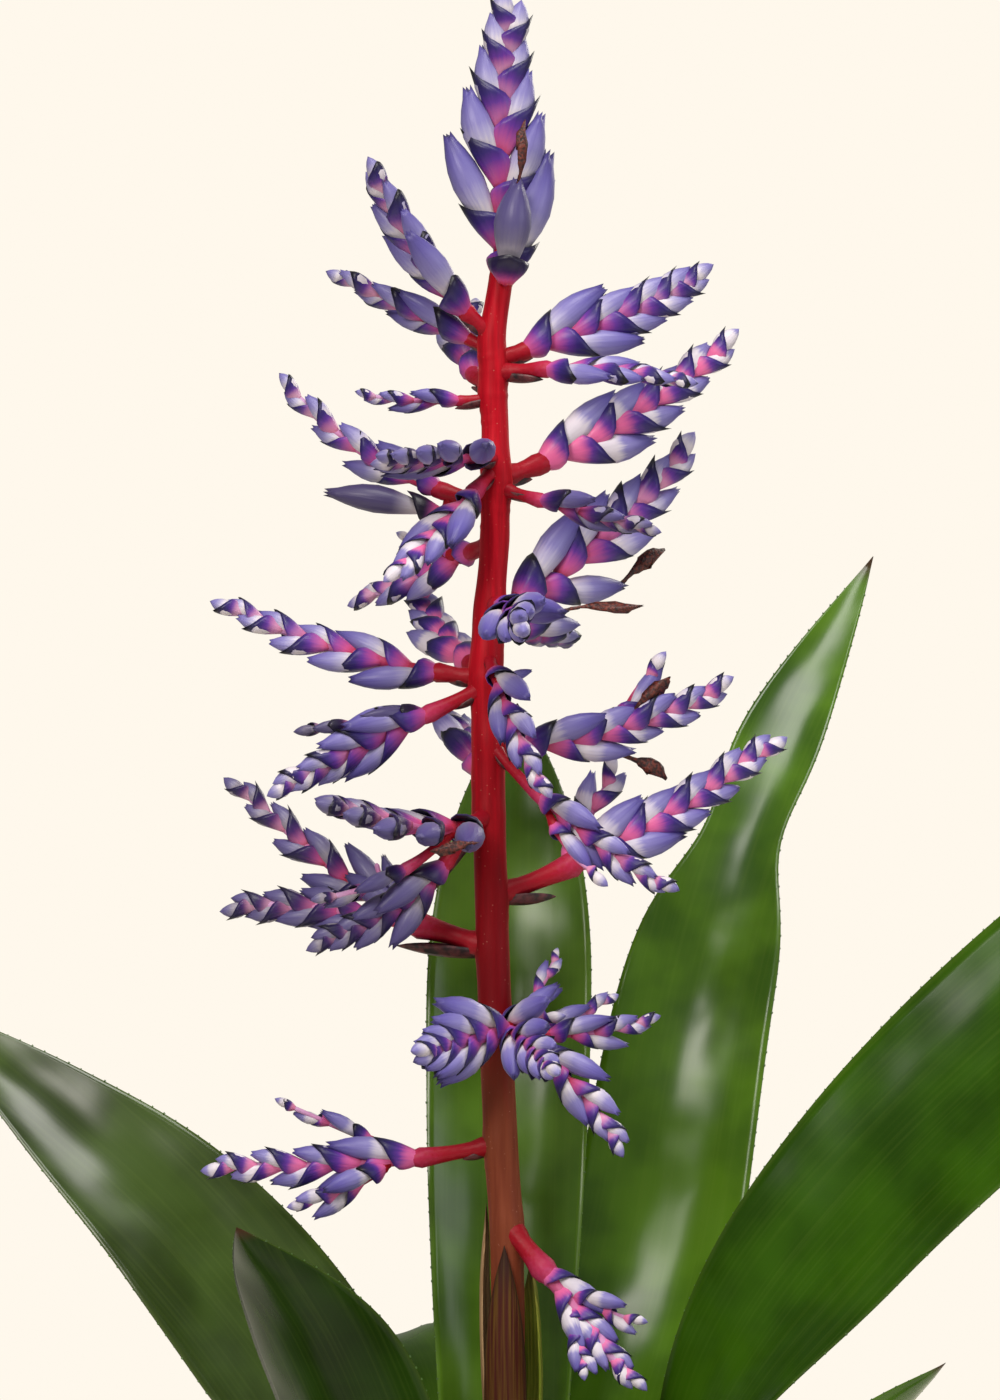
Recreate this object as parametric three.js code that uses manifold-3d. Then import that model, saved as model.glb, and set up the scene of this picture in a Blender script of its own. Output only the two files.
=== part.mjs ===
// A flowering aechmea, lifted and trimmed: strap leaves round a short stock, and a red stalk of
// two-ranked flower spikes. Millimetres, +Z up, the front of the plant faces -Y, and the origin is
// the centre of the stock's flat underside.
import * as THREE from 'three';
import Module from 'manifold-3d';

const wasm = await Module();
wasm.setup();

// Driving dimensions

const CLEARANCE = 0.3;
const UP = new THREE.Vector3(0, 0, 1);
const deg = THREE.MathUtils.degToRad;
const { lerp, clamp, smoothstep } = THREE.MathUtils;

const STOCK = {
  // Radius and height of the stock's outline, from the flat underside to the flat top.
  outline: [[0, 0], [21, 0], [30, 2.5], [39, 7.5], [42.5, 12], [0, 12]],
  sides: 18,
  top: 12,
};

const SCAPE = {
  sides: 10,
  rings: 14,
  // Place across, place up and diameter, from the stock to the lowest flowers of the end spike.
  course: [
    [0, STOCK.top + CLEARANCE, 11.5], [0.4, 70, 11], [1.4, 140, 10.5], [2.4, 215, 10],
    [2.0, 263, 10], [0.4, 290, 10.2], [-1.6, 335, 10], [-3.2, 390, 9.8], [-3.8, 440, 9.4],
    [-1.4, 475, 8.4], [-1.4, 505, 8.2], [-2.2, 532, 7.8], [0.3, 552, 7.2], [1.0, 566, 3],
  ],
};

// The blades are cupped round the stalk at their sheaths, and never by more than the wrap, in radians.
// A blade turns about its own spine between two shares of its length.
const LEAF = { thickness: 1.1, teeth: 1.5, strips: 4, sheath: 18, wrap: 2.4, turns: [0.2, 0.55] };

// Each blade: the bearing it grows in (0 is right, 90 is back), its spine as distance from the middle
// and height, half its greatest width, how far along that lies, how full its point is, how much it is
// cupped, how far it turns about its own spine, and the rows of its mesh. A waist is how far along it
// lies, the share of the width that it takes away and how long it is.
const LEAVES = [
  { name: 'leaf_back', bearing: 86, half: 26.5, broad: 0.7, point: 3, cup: 28, turn: 0, rows: 9, sheath: 15,
    spine: [[11, 12.3], [14.5, 100], [22, 190], [36, 275], [54, 350], [78, 424]] },
  { name: 'leaf_right_back', bearing: 50, half: 28, broad: 0.46, point: 2.4, cup: 26, turn: 30, rows: 13,
    sheath: 16,
    waist: [0.785, 0.35, 0.055],
    spine: [[13.5, 12.3], [20, 105], [46, 185], [75, 255], [98, 335], [133, 402], [190, 472]] },
  { name: 'leaf_left', bearing: 166, half: 29, broad: 0.55, point: 1.7, cup: 24, turn: -58, rows: 11,
    spine: [[16, 12.3], [22.5, 90], [35, 163], [60, 216], [98, 262], [141, 299], [186, 333]] },
  { name: 'leaf_right_front', bearing: -10, half: 36.5, broad: 0.74, point: 1.9, cup: 24, turn: 58, rows: 11,
    sheath: 12,
    spine: [[18.5, 12.3], [26.5, 85], [46, 157], [70, 222], [110, 276], [165, 330], [230, 379.5], [292, 411]] },
  { name: 'leaf_left_front', bearing: -124, half: 25, broad: 0.62, point: 1.7, cup: 34, turn: 22, rows: 9,
    spine: [[21, 12.3], [28.5, 75], [44, 138], [66, 197], [92, 240], [127, 277]] },
  { name: 'leaf_left_back', bearing: 114, half: 25, broad: 0.5, point: 1.7, cup: 22, turn: 0, rows: 8,
    spine: [[23.5, 12.3], [32, 80], [46, 150], [72, 208], [102, 222], [148, 194], [192, 136]] },
  { name: 'leaf_low_right', bearing: -44, half: 25, broad: 0.55, point: 1.6, cup: 26, turn: -12, rows: 8,
    spine: [[26, 12.3], [34, 65], [54, 122], [88, 172], [130, 208], [172, 241]] },
  { name: 'leaf_outer_1', bearing: 68, half: 26, broad: 0.5, point: 1.7, cup: 20, turn: 0, rows: 7,
    spine: [[28.5, 12.3], [37, 58], [60, 110], [102, 146], [156, 142], [214, 94], [268, 0.4]] },
  { name: 'leaf_outer_2', bearing: 198, half: 26, broad: 0.5, point: 1.7, cup: 20, turn: 0, rows: 7,
    spine: [[31, 12.3], [40, 55], [64, 102], [108, 134], [162, 128], [212, 82], [256, 0.4]] },
  { name: 'leaf_outer_3', bearing: 20, half: 26, broad: 0.5, point: 1.7, cup: 20, turn: 0, rows: 7,
    spine: [[33.5, 12.3], [43, 52], [66, 96], [110, 126], [166, 120], [218, 76], [264, 0.4]] },
  { name: 'leaf_outer_4', bearing: 262, half: 26, broad: 0.5, point: 1.7, cup: 20, turn: 0, rows: 7,
    spine: [[36, 12.3], [45, 48], [68, 88], [112, 115], [166, 108], [216, 66], [260, 0.4]] },
  { name: 'leaf_outer_5', bearing: 142, half: 26, broad: 0.5, point: 1.7, cup: 20, turn: 0, rows: 7,
    spine: [[38.5, 12.3], [48, 44], [70, 80], [112, 104], [164, 96], [212, 56], [254, 0.4]] },
  { name: 'leaf_outer_6', bearing: 318, half: 26, broad: 0.5, point: 1.7, cup: 20, turn: 0, rows: 7,
    spine: [[41, 12.3], [50, 40], [72, 72], [112, 92], [162, 84], [208, 48], [248, 0.4]] },
];

// The boat-shaped bracts that clasp the stalk under the flower head, in the same terms, with the place
// across of the stalk that they clasp.
const SCAPE_BRACT_THICKNESS = 0.8;
const SCAPE_BRACTS = [
  { name: 'scape_bract_front', bearing: -94, half: 9, broad: 0.45, point: 1.8, cup: 70, turn: 0, rows: 5,
    middle: 2.2, sheath: 7, spine: [[6.4, 176], [8.0, 200], [8.8, 225], [8.6, 245], [6.6, 262]] },
  { name: 'scape_bract_right', bearing: 34, half: 9, broad: 0.45, point: 1.8, cup: 60, turn: 0, rows: 5,
    middle: 1.9, sheath: 5, spine: [[6.1, 168], [8.6, 189], [11.2, 218], [10.8, 240], [8.8, 257]] },
  { name: 'scape_bract_left', bearing: 164, half: 5, broad: 0.4, point: 1.6, cup: 40, turn: 0, rows: 5,
    middle: 2.2, sheath: 5, spine: [[6.4, 205], [7.6, 225], [8.0, 245], [7.4, 262], [6.6, 274]] },
];

// The narrow bract under each branch: where it springs, how far it reaches, half its width, how thick
// it is and where it is broadest.
const BRACT = { root: 0.12, length: 17, half: 1.6, thickness: 1.6, broad: 0.45 };

const FLOWER = {
  // Length at the foot of a full-size spike, the share of it left at the tip and how fast it falls.
  length: 31, last: 0.44, fall: 0.9,
  // How far the first and the last stand out from the axis, and how much closer the last ones sit.
  spread: 21, lastSpread: 10, crowding: 0.25,
  // How much longer the first flower of a spike is, of which the second has half.
  firstLong: 0.13,
  // Half a flower's width: a share of the spike's size, and a share of the flower's length.
  half: 1.9, perLength: 0.088,
  // Shares of a spike: up to where its flowers are full, and from where they have three sides.
  full: 0.06, plain: 0.08,
  // Shares of a flower's length: how far its root is sunk, where the bract's lip lies and how much
  // higher it lies outside than inside, where the calyx narrows, and how much of the last one's length
  // stands past the axis.
  sunk: 0.02, lip: 0.42, lipSlant: 0.16, shoulder: 0.8, pastEnd: 0.8,
  // How much narrower a flower is on its inner side, and a shoulder than its lip.
  inner: 0.5, shoulderWidth: 0.6,
};

// A dried corolla: where along a flower it starts, its length, half its width at the mouth and at its
// swelling, and as shares of its length how deep it is rooted, where it swells and how far it leans out.
const COROLLA = {
  from: 0.96, length: 11, mouth: 0.9, belly: 1.5, root: 0.3, swell: 0.4, lean: 0.15, sides: 3,
};

// Half the core's width in the plane of the ranks and across it, at its foot and its tip, as shares of
// the longest flower, where it is full, bends and is last at that width, as shares of the part with
// flowers, and the number of flowers past which it needs the bend.
const CORE = {
  wide: [0.22, 0.07], thick: [0.13, 0.05], full: 0.14, bend: 0.55, last: 0.92, bentFrom: 6, sides: 4,
  stalkTaper: 0.75,
};

// Each branch: its spikes, each with the points its axis bends through (across, back and up), or the
// share of the first spike's axis where it springs from that and the other two points, the number of
// flowers, the share of the axis that is bare stalk, the stalk's radius, the size of the
// flowers, the way the two ranks face, and which flowers carry a dried corolla.
const BRANCHES = [
  { name: 'end_spike', spikes: [
    { axis: [[0.6, 0, 549], [-1, 1, 592], [3.2, 0, 636]], flowers: 10, bare: 0.04, stalk: 3.2, size: 1.14,
      ranks: [1, 0.1, 0], spread: 25 },
    { from: 0.05, axis: [[1, 9, 563], [16.4, 13, 587]], flowers: 4, bare: 0.1, stalk: 2.4, size: 0.82,
      ranks: [1, -0.4, 0] },
    { from: 0.02, axis: [[2.6, -8.4, 546.4], [1.5, -1.6, 558.5]], flowers: 1, bare: 0.5, stalk: 2.6, size: 1,
      ranks: [0, -1, 0], spread: 0, dried: [0] },
  ] },
  { name: 'branch_left_1', spikes: [
    { axis: [[-2.2, 0, 534.6], [-20.8, -6, 546.6], [-40.5, -12, 588]], flowers: 7, bare: 0.22, stalk: 3,
      size: 0.92, ranks: [0.55, -0.8, 0.2] },
  ] },
  { name: 'branch_left_2', spikes: [
    { axis: [[-2.2, 0, 529.8], [-17, 6, 538], [-53.4, 8, 555.6]], flowers: 6, bare: 0.2, stalk: 2.2,
      size: 0.74, ranks: [0.1, -0.8, 0.5] },
  ] },
  { name: 'branch_back_1', spikes: [
    { axis: [[-1.8, 0, 518.6], [-15, 18, 524], [-8.6, 40, 548.6]], flowers: 5, bare: 0.3, stalk: 2.8,
      size: 0.8, ranks: [1, 0, 0.3] },
  ] },
  { name: 'branch_left_3', spikes: [
    { axis: [[-1.8, 0, 515.6], [-22.2, -2, 513], [-42.5, -4, 516.8]], flowers: 5, bare: 0.25, stalk: 1.8,
      size: 0.46, ranks: [0, -0.8, 0.6] },
  ] },
  { name: 'branch_left_4', spikes: [
    { axis: [[-1.2, 0, 484], [-36.2, 12, 490], [-66, 14, 523]], flowers: 7, bare: 0.24, stalk: 3,
      size: 0.72, ranks: [0.3, -0.5, 0.8] },
    { from: 0.2, axis: [[-15.4, 4.6, 476], [-26, 5.4, 490.2]], flowers: 1, bare: 0.5, stalk: 2.6, size: 1.08,
      ranks: [0, 0, 1], spread: 6 },
  ] },
  { name: 'branch_front_left_1', spikes: [
    { axis: [[-1.2, 0, 497.2], [-7.8, -21, 496.4], [-39.8, -26, 496.4]], flowers: 6, bare: 0.22, stalk: 2.6,
      size: 0.82, ranks: [0.1, -1, 0.15] },
  ] },
  { name: 'branch_front_left_2', spikes: [
    { axis: [[-1.4, 0, 494.6], [-7.6, -13, 486.4], [-33.6, -34, 458.4]], flowers: 6, bare: 0.34, stalk: 3,
      size: 0.82, ranks: [1, 0, 0.4] },
  ] },
  { name: 'branch_back_2', spikes: [
    { axis: [[-2, 0, 474], [-11.8, 26, 467], [-46, 40, 455.2]], flowers: 6, bare: 0.26, stalk: 2.8,
      size: 0.76, ranks: [0.4, 0.3, 1] },
    { from: 0.35, axis: [[-23.2, 26, 471.4], [-28.6, 28, 476]], flowers: 2, bare: 0.1, stalk: 2.2, size: 0.5,
      ranks: [0, 0.5, 1] },
  ] },
  { name: 'branch_back_3', spikes: [
    { axis: [[-3.2, 0, 434.6], [-15, 22, 434.8], [-26, 44, 460.8]], flowers: 7, bare: 0.24, stalk: 3,
      size: 0.86, ranks: [1, -0.2, 0] },
  ] },
  { name: 'branch_left_5', spikes: [
    { axis: [[-3.6, 0, 431.6], [-42.2, 5, 435.2], [-86.4, 6, 456.4]], flowers: 9, bare: 0.18, stalk: 3.2,
      size: 0.8, ranks: [0.2, -0.55, 0.85] },
  ] },
  { name: 'branch_left_6', spikes: [
    { axis: [[-3.6, 0, 429.2], [-28.4, -10, 418.6], [-69, -18, 397]], flowers: 8, bare: 0.34, stalk: 3,
      size: 0.82, ranks: [0, -0.4, 1] },
    { from: 0.34, axis: [[-38, -12, 418.4], [-60, -14, 416.6]], flowers: 3, bare: 0.3, stalk: 1.8, size: 0.5,
      ranks: [0, -1, 0.3] },
  ] },
  { name: 'branch_back_4', spikes: [
    { axis: [[-3.4, 0, 401], [-8, 12, 406], [-13, 28, 420]], flowers: 4, bare: 0.2, stalk: 3, size: 0.96,
      ranks: [0.8, 0, -0.6] },
  ] },
  { name: 'branch_front_left_3', spikes: [
    { axis: [[-3.2, 0, 391], [-15, -26, 381], [-56.4, -36, 397.6]], flowers: 7, bare: 0.18, stalk: 3,
      size: 0.96, ranks: [0.1, -1, 0.1], dried: [1] },
    { from: 0.2, axis: [[-20, -18, 363.8], [-58, -22, 353]], flowers: 8, bare: 0.26, stalk: 2.6, size: 0.8,
      ranks: [0, -0.2, 1] },
    { from: 0.28, axis: [[-30.6, -25, 370], [-54, -27, 366.5]], flowers: 3, bare: 0.4, stalk: 2, size: 0.56,
      ranks: [0, -1, 0.3] },
  ], bract: { to: [-27, -15, 358], half: 2.4 } },
  { name: 'branch_left_7', spikes: [
    { axis: [[-2, 0, 350], [-37, 10, 365], [-83.4, 10, 362.8]], flowers: 8, bare: 0.3, stalk: 4.2, size: 0.82,
      ranks: [0, 0.1, 1] },
    { from: 0.32, axis: [[-53, 17, 374], [-82.4, 20, 402.4]], flowers: 8, bare: 0.1, stalk: 2.8, size: 0.76,
      ranks: [0.4, 0.1, 0.8] },
    { from: 0.36, axis: [[-37.4, 10, 370.8], [-36.6, 11, 381]], flowers: 1, bare: 0.1, stalk: 1.8, size: 0.6,
      ranks: [1, 0, 0] },
  ], bract: { to: [-31, 4, 352], half: 2.6 } },
  { name: 'branch_left_8', spikes: [
    { axis: [[0.4, 0, 292.2], [-39, -3, 283.8], [-88.8, -4, 286.6]], flowers: 8, bare: 0.3, stalk: 2.8,
      size: 0.8, ranks: [0, -0.2, 1] },
    { from: 0.32, axis: [[-44.4, 2, 295.4], [-67.2, 4, 304.5]], flowers: 3, bare: 0.34, stalk: 1.7,
      size: 0.48, ranks: [0.1, -0.8, 0.6] },
    { from: 0.4, axis: [[-45, -8, 277.6], [-62, -10, 274]], flowers: 4, bare: 0.1, stalk: 1.7, size: 0.64,
      ranks: [0.4, -0.2, 1] },
  ] },
  { name: 'branch_right_1', spikes: [
    { axis: [[-1.4, 0, 527], [29.6, 6, 536.8], [63.8, 8, 554]], flowers: 9, bare: 0.14, stalk: 3, size: 0.94,
      ranks: [0, 0.1, 1] },
  ] },
  { name: 'branch_right_2', spikes: [
    { axis: [[-1.6, 0, 523], [25, -13, 524], [58, -17, 519]], flowers: 7, bare: 0.28, stalk: 2.6, size: 0.7,
      ranks: [0.1, -0.9, -0.4] },
  ], bract: { to: [13, -7, 521], half: 1.8 } },
  { name: 'branch_right_3', spikes: [
    { axis: [[-0.8, 0, 491.6], [31, 14, 501], [72.8, 20, 537]], flowers: 9, bare: 0.2, stalk: 3.8, size: 0.98,
      ranks: [0, 0.1, 1] },
  ] },
  { name: 'branch_right_4', spikes: [
    { axis: [[-0.8, 0, 488.8], [16.2, -14, 481.8], [46.4, -19, 475.4]], flowers: 6, bare: 0.32, stalk: 2.2,
      size: 0.62, ranks: [0, -0.8, 0.6] },
  ], bract: { to: [14, -9, 484.5], half: 1.8 } },
  { name: 'branch_right_5', spikes: [
    { axis: [[-2.2, 0, 451], [26, 26, 459.6], [63.4, 34, 504.4]], flowers: 9, bare: 0.16, stalk: 3.2,
      size: 1.04, ranks: [0.2, 0.1, 1], dried: [2] },
  ] },
  { name: 'branch_front_1', spikes: [
    { axis: [[-2.6, 0, 453.8], [5.8, -26, 449.8], [5.6, -50, 445.6]], flowers: 8, bare: 0.16, stalk: 3,
      size: 0.84, ranks: [1, 0, 0.55], dried: [1] },
  ] },
  { name: 'branch_back_5', spikes: [
    { axis: [[-3.4, 0, 448], [11, 20, 447], [22, 44, 444]], flowers: 6, bare: 0.25, stalk: 2.6, size: 0.8,
      ranks: [1, 0, 0.2] },
  ] },
  { name: 'branch_front_2', spikes: [
    { axis: [[-3.6, 0, 438.8], [-1, -24, 428], [14.5, -34, 396]], flowers: 7, bare: 0.2, stalk: 2.2,
      size: 0.7, ranks: [0.7, -0.6, 0] },
    { from: 0.3, axis: [[1, -16, 430], [8, -14, 435.6]], flowers: 1, bare: 0.1, stalk: 1.6, size: 0.38,
      ranks: [1, 0, 0.3] },
  ] },
  { name: 'branch_right_6', spikes: [
    { axis: [[-3.8, 0, 410], [32.8, 7, 411], [70.6, 7, 430.8]], flowers: 9, bare: 0.14, stalk: 2.8,
      size: 0.84, ranks: [0, -0.35, 1], dried: [3, 4] },
    { from: 0.55, axis: [[40.6, 9, 429.2], [51.4, 10, 435.6]], flowers: 2, bare: 0.2, stalk: 1.6, size: 0.5,
      ranks: [1, 0, -0.6] },
  ] },
  { name: 'branch_right_7', spikes: [
    { axis: [[-2.6, 0, 366], [35, 12, 378], [84.4, 20, 414.2]], flowers: 10, bare: 0.3, stalk: 4, size: 0.88,
      ranks: [0, 0.1, 1], dried: [4] },
    { from: 0.26, axis: [[26, 18, 387], [35, 20, 404.6]], flowers: 4, bare: 0.1, stalk: 2, size: 0.78,
      ranks: [1, 0, -0.4] },
  ], bract: { to: [17, 3, 366], half: 2.4 } },
  { name: 'branch_right_8', spikes: [
    { axis: [[-3.6, 0, 413], [14.8, -22, 388], [50.4, -28, 367]], flowers: 7, bare: 0.36, stalk: 2.2,
      size: 0.7, ranks: [0.2, -0.4, 1] },
    { from: 0.38, axis: [[19, -24, 376.8], [31, -27, 373.2]], flowers: 2, bare: 0.2, stalk: 1.6, size: 0.6,
      ranks: [1, 0, 0.4] },
  ] },
  { name: 'branch_low_cluster', spikes: [
    { axis: [[-1.4, 0, 328.8], [8, -24, 326], [19.2, -46, 313.2]], flowers: 7, bare: 0.24, stalk: 3,
      size: 0.74, ranks: [0.8, 0, 0.8] },
    { from: 0.16, axis: [[-10.6, -22, 326], [-24, -38, 322]], flowers: 6, bare: 0.16, stalk: 2.6, size: 0.84,
      ranks: [0.2, 0.1, 1] },
    { from: 0.2, axis: [[9.2, -10, 331], [18.2, -10, 331]], flowers: 2, bare: 0.1, stalk: 2, size: 0.6,
      ranks: [0, 0.2, 1] },
    { from: 0.26, axis: [[20.8, -12, 322], [47.8, -8, 330]], flowers: 5, bare: 0.3, stalk: 1.8, size: 0.58,
      ranks: [0, -0.4, 1] },
    { from: 0.14, axis: [[11.4, -2, 334], [18, 8, 350]], flowers: 4, bare: 0.3, stalk: 1.8, size: 0.42,
      ranks: [1, 0, -0.2] },
    { from: 0.16, axis: [[19, -4, 324], [33.8, 8, 336]], flowers: 4, bare: 0.3, stalk: 1.8, size: 0.5,
      ranks: [0, 0.2, 1] },
    { from: 0.3, axis: [[21, -25, 315], [36.6, -28, 291]], flowers: 6, bare: 0.2, stalk: 2, size: 0.7,
      ranks: [1, 0, 0.7] },
  ] },
  { name: 'branch_low_right', spikes: [
    { axis: [[2, 0, 268], [16.6, -12, 251], [42, -26, 220.4]], flowers: 7, bare: 0.38, stalk: 2.4, size: 0.7,
      ranks: [0.7, 0.2, 0.7] },
    { from: 0.42, axis: [[30, -17, 243], [41.6, -19, 240.8]], flowers: 3, bare: 0.2, stalk: 1.4, size: 0.52,
      ranks: [0, -0.3, 1] },
    { from: 0.46, axis: [[23, -19, 236], [25.6, -24, 226]], flowers: 4, bare: 0.2, stalk: 1.4, size: 0.52,
      ranks: [1, 0, 0] },
  ] },
];

// Finishes

function material(colour, roughness) {
  return new THREE.MeshStandardMaterial({ color: colour, roughness, metalness: 0, side: THREE.DoubleSide });
}

const FINISH = {
  leaf: material('#3f6b1e', 0.32),
  stock: material('#6e4c30', 0.85),
  scape: material('#c5182c', 0.4),
  bract: material('#6a3b2a', 0.6),
  flower: material('#6d63b4', 0.38),
};

const plant = new THREE.Group();
plant.name = 'aechmea';

function addPiece(name, geometry, finish) {
  const mesh = new THREE.Mesh(geometry, finish);
  mesh.name = name;
  plant.add(mesh);
}

function vector(point) {
  return new THREE.Vector3(...point);
}

// A closed geometry from shared points and the triangles between them.
function closedGeometry(points, triangles) {
  const geometry = new THREE.BufferGeometry();
  geometry.setAttribute('position', new THREE.Float32BufferAttribute(points.flatMap((p) => p.toArray()), 3));
  geometry.setIndex(triangles.flat());
  return geometry;
}

// A round body through rings of points, closed by a point at each end.
function loft(rings, start, end) {
  const sides = rings[0].length;
  const points = [start, ...rings.flat(), end];
  const last = points.length - 1;
  const at = (ring, side) => 1 + ring * sides + (side % sides);
  const triangles = [];
  for (let side = 0; side < sides; side += 1) {
    triangles.push([0, at(0, side + 1), at(0, side)]);
    for (let ring = 0; ring < rings.length - 1; ring += 1) {
      triangles.push([at(ring, side), at(ring, side + 1), at(ring + 1, side + 1)]);
      triangles.push([at(ring, side), at(ring + 1, side + 1), at(ring + 1, side)]);
    }
    triangles.push([last, at(rings.length - 1, side), at(rings.length - 1, side + 1)]);
  }
  return closedGeometry(points, triangles);
}

// The part of a direction that is square to another one, at unit length.
function squareTo(direction, tangent) {
  return direction.clone().addScaledVector(tangent, -direction.dot(tangent)).normalize();
}

// One ring of points round a centre, the first of them on the side that `first` faces.
function ring(centre, first, tangent, radius, sides) {
  const across = tangent.clone().cross(first);
  return Array.from({ length: sides }, (unused, side) => {
    const angle = (2 * Math.PI * side) / sides;
    return centre.clone()
      .addScaledVector(first, radius * Math.cos(angle))
      .addScaledVector(across, radius * Math.sin(angle));
  });
}

// A tube along a curve through rings at the given places, its half widths a function of the place.
function taperedTube(curve, hint, places, halvesAt, sides) {
  const loops = places.map((place) => {
    const centre = curve.getPoint(place);
    const tangent = curve.getTangent(place);
    const first = squareTo(hint, tangent);
    const [wide, thick] = halvesAt(place);
    return ring(centre, first, tangent, thick, sides).map((point) => {
      const reach = point.clone().sub(centre).dot(first);
      return point.addScaledVector(first, reach * (wide / thick - 1));
    });
  });
  return loft(loops, curve.getPoint(0), curve.getPoint(1));
}

// Solids to join and cut

function solid(geometry) {
  return new wasm.Manifold(new wasm.Mesh({
    numProp: 3,
    vertProperties: new Float32Array(geometry.getAttribute('position').array),
    triVerts: new Uint32Array(geometry.getIndex().array),
  }));
}

// The largest body of a solid, with loose scraps and the walls of sealed hollows left out.
function mainBody(joined) {
  const bodies = joined.decompose();
  return bodies.reduce((best, body) => (body.volume() > best.volume() ? body : best));
}

function geometryOf(body) {
  const mesh = body.getMesh();
  const geometry = new THREE.BufferGeometry();
  geometry.setAttribute('position', new THREE.Float32BufferAttribute(mesh.vertProperties, 3));
  geometry.setIndex(new THREE.Uint32BufferAttribute(mesh.triVerts, 1));
  return geometry;
}

// Stock and flower stalk

function stock() {
  const profile = STOCK.outline.map(([radius, height]) => new THREE.Vector2(radius, height));
  const geometry = new THREE.LatheGeometry(profile, STOCK.sides);
  geometry.rotateX(Math.PI / 2);
  return geometry;
}

const SCAPE_CURVE = new THREE.CatmullRomCurve3(
  SCAPE.course.map(([across, up]) => new THREE.Vector3(across, 0, up)), false, 'catmullrom', 0.5,
);

function scapeRadius(along) {
  const place = along * (SCAPE.course.length - 1);
  const step = Math.min(Math.floor(place), SCAPE.course.length - 2);
  return lerp(SCAPE.course[step][2], SCAPE.course[step + 1][2], place - step) / 2;
}

// The stalk, or the room it takes with a clearance round it.
function scape(clearance) {
  const side = new THREE.Vector3(1, 0, 0);
  const places = Array.from({ length: SCAPE.rings + 1 }, (unused, step) => step / SCAPE.rings);
  const halvesAt = (along) => [scapeRadius(along) + clearance, scapeRadius(along) + clearance];
  return taperedTube(SCAPE_CURVE, side, places, halvesAt, SCAPE.sides);
}

// Leaves and scape bracts

function halfWidth(spec, along) {
  const sheath = spec.sheath ?? LEAF.sheath;
  if (along < spec.broad) return lerp(sheath, spec.half, smoothstep(along, 0, spec.broad));
  const past = (along - spec.broad) / (1 - spec.broad);
  const [at, depth, reach] = spec.waist ?? [0, 0, 1];
  return spec.half * (1 - past ** spec.point) * (1 - depth * Math.exp(-(((along - at) / reach) ** 2)));
}

// A strap with a channelled section, the same triangles on both faces and a tooth at each row.
function blade(spec, thickness, teeth) {
  const bearing = deg(spec.bearing);
  const outward = new THREE.Vector3(Math.cos(bearing), Math.sin(bearing), 0);
  const spine = new THREE.CatmullRomCurve3(
    spec.spine.map(([distance, up]) => outward.clone().multiplyScalar(distance).setZ(up)),
    false, 'catmullrom', 0.5,
  );
  const level = UP.clone().cross(outward);
  const upper = [];
  const lower = [];
  const sides = [];
  for (let row = 0; row < spec.rows; row += 1) {
    const along = row / spec.rows;
    const tangent = spine.getTangent(along);
    const turn = deg(spec.turn) * smoothstep(along, ...LEAF.turns);
    const inner = tangent.clone().cross(level).applyAxisAngle(tangent, turn);
    const across = level.clone().applyAxisAngle(tangent, turn);
    const half = halfWidth(spec, along);
    const centre = spine.getPoint(along);
    const cup = clamp(half / Math.hypot(centre.x, centre.y), deg(spec.cup), LEAF.wrap);
    centre.x += spec.middle ?? 0;
    const radius = half / cup;
    const top = [];
    const under = [];
    for (let strip = 0; strip <= LEAF.strips; strip += 1) {
      const angle = cup * ((2 * strip) / LEAF.strips - 1);
      const middle = centre.clone()
        .addScaledVector(across, radius * Math.sin(angle))
        .addScaledVector(inner, radius * (1 - Math.cos(angle)));
      const normal = inner.clone().multiplyScalar(Math.cos(angle)).addScaledVector(across, -Math.sin(angle));
      top.push(middle.clone().addScaledVector(normal, thickness / 2));
      under.push(middle.clone().addScaledVector(normal, -thickness / 2));
    }
    upper.push(top);
    lower.push(under);
    sides.push([-1, 1].map((side) => across.clone()
      .multiplyScalar(side * Math.cos(cup))
      .addScaledVector(inner, Math.sin(cup))));
  }
  const tip = spine.getPoint(1);
  tip.x += spec.middle ?? 0;
  return closedBlade(upper, lower, sides, tip, teeth);
}

function closedBlade(upper, lower, sides, tip, teeth) {
  const rows = upper.length;
  const width = upper[0].length;
  const points = [...upper.flat(), ...lower.flat(), tip];
  const top = (row, strip) => row * width + strip;
  const under = (row, strip) => (rows + row) * width + strip;
  const apex = points.length - 1;
  const triangles = [];
  const wide = width - 1;
  for (let row = 0; row < rows - 1; row += 1) {
    for (let strip = 0; strip < wide; strip += 1) {
      triangles.push([top(row, strip), top(row + 1, strip), top(row + 1, strip + 1)]);
      triangles.push([top(row, strip), top(row + 1, strip + 1), top(row, strip + 1)]);
      triangles.push([under(row, strip), under(row + 1, strip + 1), under(row + 1, strip)]);
      triangles.push([under(row, strip), under(row, strip + 1), under(row + 1, strip + 1)]);
    }
    [[0, 0], [wide, 1]].forEach(([strip, side]) => {
      const corners = [under(row, strip), under(row + 1, strip), top(row + 1, strip), top(row, strip)];
      if (side) corners.reverse();
      const tooth = new THREE.Vector3();
      corners.forEach((corner) => tooth.addScaledVector(points[corner], 1 / corners.length));
      tooth.addScaledVector(sides[row][side], teeth);
      points.push(tooth);
      corners.forEach((corner, index) => {
        triangles.push([corner, corners[(index + 1) % corners.length], points.length - 1]);
      });
    });
  }
  const end = rows - 1;
  for (let strip = 0; strip < wide; strip += 1) {
    triangles.push([top(end, strip), apex, top(end, strip + 1)]);
    triangles.push([under(end, strip + 1), apex, under(end, strip)]);
    triangles.push([under(0, strip), top(0, strip), top(0, strip + 1)]);
    triangles.push([under(0, strip), top(0, strip + 1), under(0, strip + 1)]);
  }
  triangles.push([under(end, 0), apex, top(end, 0)]);
  triangles.push([top(end, wide), apex, under(end, wide)]);
  return closedGeometry(points, triangles);
}

// Flower spikes

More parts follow.
